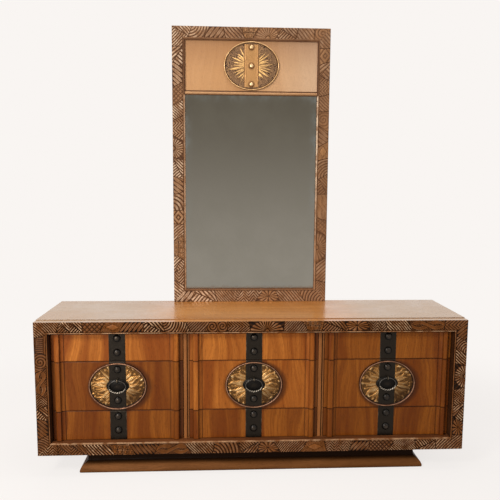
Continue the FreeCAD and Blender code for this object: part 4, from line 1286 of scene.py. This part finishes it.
def gilt_form(x, z, tongues, lesser, tarnish):
    """The gilt relief of one medallion round a place. tarnish is how dull the whole plate is."""
    def height(dx, dz, angle, radius):
        flame = np.maximum(flame_height(angle, radius, tongues), 0.62 * flame_height(angle, radius, lesser))
        lumps = 0.5 + 0.5 * beaten(dx + x, dz + z, 5, 3.0)
        knobs = np.clip((beaten(dx + x, dz + z, 13, 7.0) - 0.08) * 3.5, 0, 1)
        flame = np.maximum(flame, 0.85 * knobs * np.exp(-(((radius - 0.9) / 0.12) ** 2)))
        raised = 0.6 + 0.8 * lumps + 4.6 * flame
        off_boss = np.clip((np.hypot(dx / BOSS_HALF[0], dz / BOSS_HALF[1]) - 1.0) / 0.22, 0, 1)
        raised = np.minimum(raised, 2.4 + 3.4 * off_boss)
        covered = (np.abs(dx) < UNDER_STRAP) | (radius > 0.985)
        # painted shade: darker towards the lower right, away from the light, and next to the rim
        dull = np.clip((0.55 * dx - dz - 18) / 70, 0, 1) * 0.6
        glaze = np.clip(tarnish + dull + 0.25 * (radius > 0.95), 0, 0.8)
        numbers = {"relief": 0.1 + 0.2 * lumps + 0.7 * flame ** 0.7, "glaze": glaze}
        return np.where(covered, 0, raised), numbers
    return height


for seed, (bay, middle) in enumerate(BAYS.items(), 40):
    bm = fresh()
    relief = gilt_form(middle, OVAL_Z, flames(24, seed, (0.8, 1.0), 0.14, 0.18, 0.28),
                       flames(30, seed + 9, (0.6, 1.0), 0.10, 0.26, 0.3), TARNISH[bay])
    oval_plate(bm, middle, OVAL_Z, PLATE, FIELD + 4, FIELD, relief)
    oval_rim(bm, middle, OVAL_Z, OVAL_HALF, FIELD, ROLL)
    made = piece(f"gilt_medallion_{bay}", bm, f"middle_drawer_{bay}", [gilt, bronze], [f"medallion_{bay}"],
                 sharp=60)
    print(made.name, len(made.data.polygons), "faces")

# %% [markdown]
# The header's medallion is a sunburst: many narrow flames side by side, with a few longer ones between
# them, end well before the rim on a dark curled ground. Its rim is a broad outer line of brass and a
# lesser inner one. The strap has straight ends, a row of beads along each edge and three polished nails.

# %% Header medallion
low, high = (Vector(corner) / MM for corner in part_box("header_medallion"))
HEADER_X, HEADER_Z = (low.x + high.x) / 2, (low.z + high.z) / 2
HEADER_HALF = ((high.x - low.x) / 2, (high.z - low.z) / 2)
PANEL = high.y
TWO_LINES = [(0, 4.8), (0.5, 7.8), (1.5, 9), (3.8, 9), (4.8, 7.4), (5.4, 4.4), (7.0, 4.4), (7.6, 5.8),
             (8.4, 6.6), (9.3, 5.6), (RIM, 4.2)]
NARROW, LONG = flames(34, 71, (0.66, 0.84), 0.125, 0.03, 0.0), flames(11, 77, (0.86, 0.97), 0.085, 0.06, 0.0)
UNDER_BRASS = (37.2, 106)  # half the width and height of the strap, with play


def header_form(dx, dz, angle, radius):
    """Crowded flames with a few long ones over a curled ground."""
    flame = np.maximum(flame_height(angle, radius, NARROW, 5), flame_height(angle, radius, LONG, 4))
    curls = reeds(beaten(dx, dz, 22, 8.0) * 4.0)
    raised = np.where(flame > 0.05, 1.2 + 3.6 * flame, 0.4 + 1.2 * curls)
    raised = np.where((np.abs(dx) < UNDER_BRASS[0]) & (np.abs(dz) < UNDER_BRASS[1]), 0, raised)
    # the flames are painted darker towards the middle, beside the strap: a painted shadow
    gold = np.clip((flame - 0.2) / 0.35, 0, 1) * np.clip(0.68 + radius, 0, 1)
    relief = np.where(flame > 0.12, gold, 0.7 * curls ** 2)
    return raised, {"relief": relief, "glaze": 0}


bm = fresh()
plate = [size - RIM * 0.6 for size in HEADER_HALF]
oval_plate(bm, HEADER_X, HEADER_Z, plate, PANEL, PANEL - 3.99, header_form)
oval_rim(bm, HEADER_X, HEADER_Z, HEADER_HALF, PANEL, TWO_LINES)
made = piece("brass_medallion", bm, "case", [antique, brass], ["header_medallion"], sharp=60)
print(made.name, len(made.data.polygons), "faces")

# %% Header strap
low, high = (Vector(corner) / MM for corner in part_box("header_strap"))
BRASS_FACE, BRASS_BACK = low.y + 8, high.y
HEADER_NAILS = [HEADER_Z + step * 91.1 for step in (1, 0, -1)]
BEAD_LINE, BEAD_HALF = 30, 1.8  # how far out the lines of beads run, and half their width


def beaded_strap(u, v):
    """A brass strap with a line of beads along each edge, with a dark ring round its nails, and darker
    edges.
    """
    across, up = low.x + u * (high.x - low.x), low.z + v * (high.z - low.z)
    line = np.abs(np.abs(across) - BEAD_LINE)
    beads = np.clip(1 - (line / BEAD_HALF) ** 2, 0, 1) * (0.55 + 0.45 * reeds(up / 5.0))
    edge = np.clip(1 - (high.x - np.abs(across)) / 1.6, 0, 1)
    nail = np.min([np.hypot(across, up - height) for height in HEADER_NAILS], axis=0)
    # a dark ring round each nail, partly dirt and partly painted shadow; the outer edges are darker
    dark = np.maximum(np.clip(1 - (nail - 13) / 7, 0, 1) * 0.75, 0.7 * (np.abs(across) > high.x - 2.5))
    beside = np.clip(1 - (line - BEAD_HALF) / 1.5, 0, 1)
    relief = np.where(line < BEAD_HALF, 0.35 + 0.4 * beads, 0.55 - 0.45 * beside)
    y = BRASS_FACE + 1.1 - 1.1 * beads + 0.7 * edge + 0.15 * beaten(across, up, 12)
    return across * MM, y * MM, up * MM, {"relief": relief, "glaze": dark}


bm = fresh()
close(bm, sheet(bm, 70, 150, beaded_strap), BRASS_BACK * MM)
flat = set(bm.faces)
for height in HEADER_NAILS:
    cap(bm, HEADER_X, height, 13, 13, BRASS_FACE + 1.2, 9.2, lip=1.0, rings=10, spokes=36, dents=0.1,
        crest=1.0)
second_finish(bm, flat)
piece("brass_strap", bm, "case", [brass, nail_brass], ["header_strap"])
print("header strap with", len(HEADER_NAILS), "nails")

# %% [markdown]
# ### The rail under the header
#
# Between the glass and the panel lies a half-round bead with a flat on each side. The recessed flats
# carry painted shade, so the light bead stands between two dark lines.

# %% Cross rail
low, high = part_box("mirror_cross_rail")
TALL, FRONT, BACK = (high.z - low.z) / MM, low.y / MM, high.y / MM
FLAT, FLAT_DEEP, ROUND = 4.2, 3, 7  # height and depth of the flats, and how far the bead stands out
round_part = arc((TALL / 2 - 1.8, 0), (TALL / 2 - 4.6, ROUND), 0, 180, 14)
bead = [(BACK, 0), (BACK - FLAT_DEEP, 0), (BACK - FLAT_DEEP, FLAT)]
bead += [(FRONT + ROUND - out, up) for up, out in reversed(round_part)]
bead += [(BACK - FLAT_DEEP, TALL - FLAT), (BACK - FLAT_DEEP, TALL), (BACK, TALL)]
bm = fresh()
prism(bm, [(y * MM, low.z + up * MM) for y, up in bead], "x", low.x, high.x)
glaze = bm.verts.layers.float["glaze"]
for vert in bm.verts:
    # painted shade on the recessed flats
    vert[glaze] = 0.85 if vert.co.y > (FRONT + ROUND - 0.2) * MM else 0
piece("header_bead", bm, "case", [bead_wood], ["mirror_cross_rail"])
print("cross rail", round(TALL, 1), "mm high")

# %% [markdown]
# ## The glass
#
# An old mirror is never quite clear. The silver is a grey metal under the glass, painted darker towards
# the top and lighter towards the bottom as a painted reflection of the room. It has clouded in slow
# patches, more towards its edges, where a bluish bloom creeps in.

# %% Mirror glass
silver, tree, shader, place = new_material("old silvered glass")
low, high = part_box("mirror_glass")
across, _, up = (add(tree, "SeparateXYZ", {0: place}).outputs[axis] for axis in "XYZ")
aside = limits(tree, sum_of(tree, "ABSOLUTE", across), 0.29, 0.345)
aside = times(tree, aside, limits(tree, up, 1.0, 1.75, 0.12, 0.8))
from_middle = sum_of(tree, "ABSOLUTE", sum_of(tree, "SUBTRACT", up, (low.z + high.z) / 2))
end = limits(tree, from_middle, 0.45, 0.5, 0, 0.35)
wear = grouped(tree, wear_group, {"Vector": place, "Scale": 5.5})
mottle = grouped(tree, wear_group, {"Vector": stretched(tree, place, 1, 1, 0.5), "Scale": 42.0})
border = sum_of(tree, "MAXIMUM", aside, end)
bloom = times(tree, border, limits(tree, mottle["Patches"], 0, 1, 0.1, 0.8))
# painted reflection: darker towards the top, lighter towards the bottom
colour = blend(tree, limits(tree, up, 0.85, 1.85), tone(144, 140, 130), tone(95, 90, 79))
colour = blend(tree, times(tree, wear["Patches"], 0.22), colour, tone(118, 115, 103))
colour = blend(tree, times(tree, bloom, wear["Patches"]), colour, tone(140, 150, 152))
feed(tree, shader.inputs["Base Color"], colour)
feed(tree, shader.inputs["Roughness"], limits(tree, bloom, 0, 0.6, 0.06, 0.3))
shader.inputs["Metallic"].default_value = 1.0
bump(tree, shader, wear["Patches"], 0.0002, 0.1)
print("glass", round(high.z - low.z, 3), "m high")

# %% [markdown]
# ## Plinth and partitions
#
# The foot of the plinth is an ogee: upright under the case, then hollow, then round, where it stands
# out at the floor. Light never reaches the upright part, and its shade is painted on as a darker colour,
# as is a little shade where the foot meets the floor.

# %% Plinth
MOULDING = [(0, 105), (0, 56), (1, 52), (3.5, 48), (8, 44), (13.5, 40), (19, 35.5), (24, 30.5), (28.5, 25),
            (31.7, 19), (33.6, 13), (34, 8.5), (33, 4), (30.5, 1.2), (27, 0), (-20, 0), (-20, 105)]
# painted shade: how dark the plinth is at each height
PLINTH_SHADE = ((0, 0.4), (6, 0.15), (10, 0.1), (20, 0), (32, 0), (37, 0.3), (42, 0.8), (48, 1), (105, 1))
FLARE = max(out for out, _ in MOULDING)
PLINTH_HALF, PLINTH_FRONT = 778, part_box("plinth_front_board")[0].y / MM + FLARE
PLINTH_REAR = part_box("plinth_ends")[1].y / MM


def moulding(bm, spread):
    """A length of the plinth's moulding. spread turns the way along and the distance out into x and y."""
    loop = np.array(MOULDING + MOULDING[:1], float)

    def form(u, v):
        out, z = loop[np.round(v * (len(loop) - 1)).astype(int)].T
        x, y = spread(u, out)
        return x * MM, y * MM, z * MM, {"glaze": np.interp(z, *zip(*PLINTH_SHADE))}

    made = sheet(bm, 40, len(loop) - 1, form)
    weld(bm, made)
    close(bm, made)


bm = fresh()
moulding(bm, lambda u, out: ((2 * u - 1) * (PLINTH_HALF + out), PLINTH_FRONT - out))
piece("plinth_front", bm, "case", [plinth_wood], ["plinth_front_board"])
bm = fresh()
for side in (-1, 1):
    moulding(bm, lambda u, out: (side * (PLINTH_HALF + out),
                                 PLINTH_FRONT - out + u * (PLINTH_REAR - PLINTH_FRONT + out)))
piece("plinth_sides", bm, "case", [plinth_wood], ["plinth_ends"])
print("plinth", round(PLINTH_REAR - PLINTH_FRONT + FLARE), "mm deep")

# %% [markdown]
# Each partition shows a round nose at its left, and a deep groove and a narrow step beside it. The
# corners of its section carry painted shade: black in the groove and behind, and none on the nose.

# %% Partitions
low, high = (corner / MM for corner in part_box("partitions"))
PARTITION = 25  # width
nose = [(0, 9)] + arc((5, 5), (5, 5), 180, 270) + arc((12, 5), (5, 5), 270, 360)
nose += [(17, 12), (20, 12), (20, 1), (PARTITION, 1), (PARTITION, 9)]
outline = [(0, high.y - low.y)] + nose + [(PARTITION, high.y - low.y)]
SHADED = {(0, 9): 0.9, (17, 12): 1, (20, 12): 1, (17, 5): 0.3, (20, 1): 0.35, (PARTITION, 9): 1}


def nose_shade(across, depth):
    """The painted shade at a corner of the section, or full shade on the parts that lie behind."""
    near = [dark for (x, y), dark in SHADED.items() if math.hypot(x - across, y - depth) < 0.5]
    return max(near or [depth > 20])


bm = fresh()
glaze = bm.verts.layers.float["glaze"]
for left in (low.x, high.x - PARTITION):
    places = [((left + x) * MM, (low.y + y) * MM) for x, y in outline]
    for vert in prism(bm, places, "z", low.z * MM, high.z * MM):
        vert[glaze] = nose_shade(vert.co.x / MM - left, vert.co.y / MM - low.y)
piece("partition_pair", bm, "case", [edge_wood], ["partitions"])
print("two partitions")

# %% [markdown]
# ## Finish on the pieces that keep their CAD form
#
# Plain boards are already right as they are, and only need their wood. The pieces inside the case
# show when the drawers are pulled out.

# %% CAD nodes
FINISHES = {
    "plinth_back_board": back_wood,
    "case_top": top_wood, "case_left_side": side_wood, "case_right_side": side_wood,
    "case_bottom": inner_wood, "case_back_board": back_wood,
    "dust_boards": inner_wood, "drawer_guides": inner_wood, "header_panel": veneer,
    "mirror_backboard": back_wood, "mirror_supports": inner_wood, "mirror_glass": silver,
    "support_screws": brass,
}
FINISHES.update({name: inner_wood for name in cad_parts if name.endswith("_box")})
for node, material in FINISHES.items():
    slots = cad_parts[node].data.materials
    slots.clear()
    slots.append(material)
print(len(FINISHES), "nodes dressed")
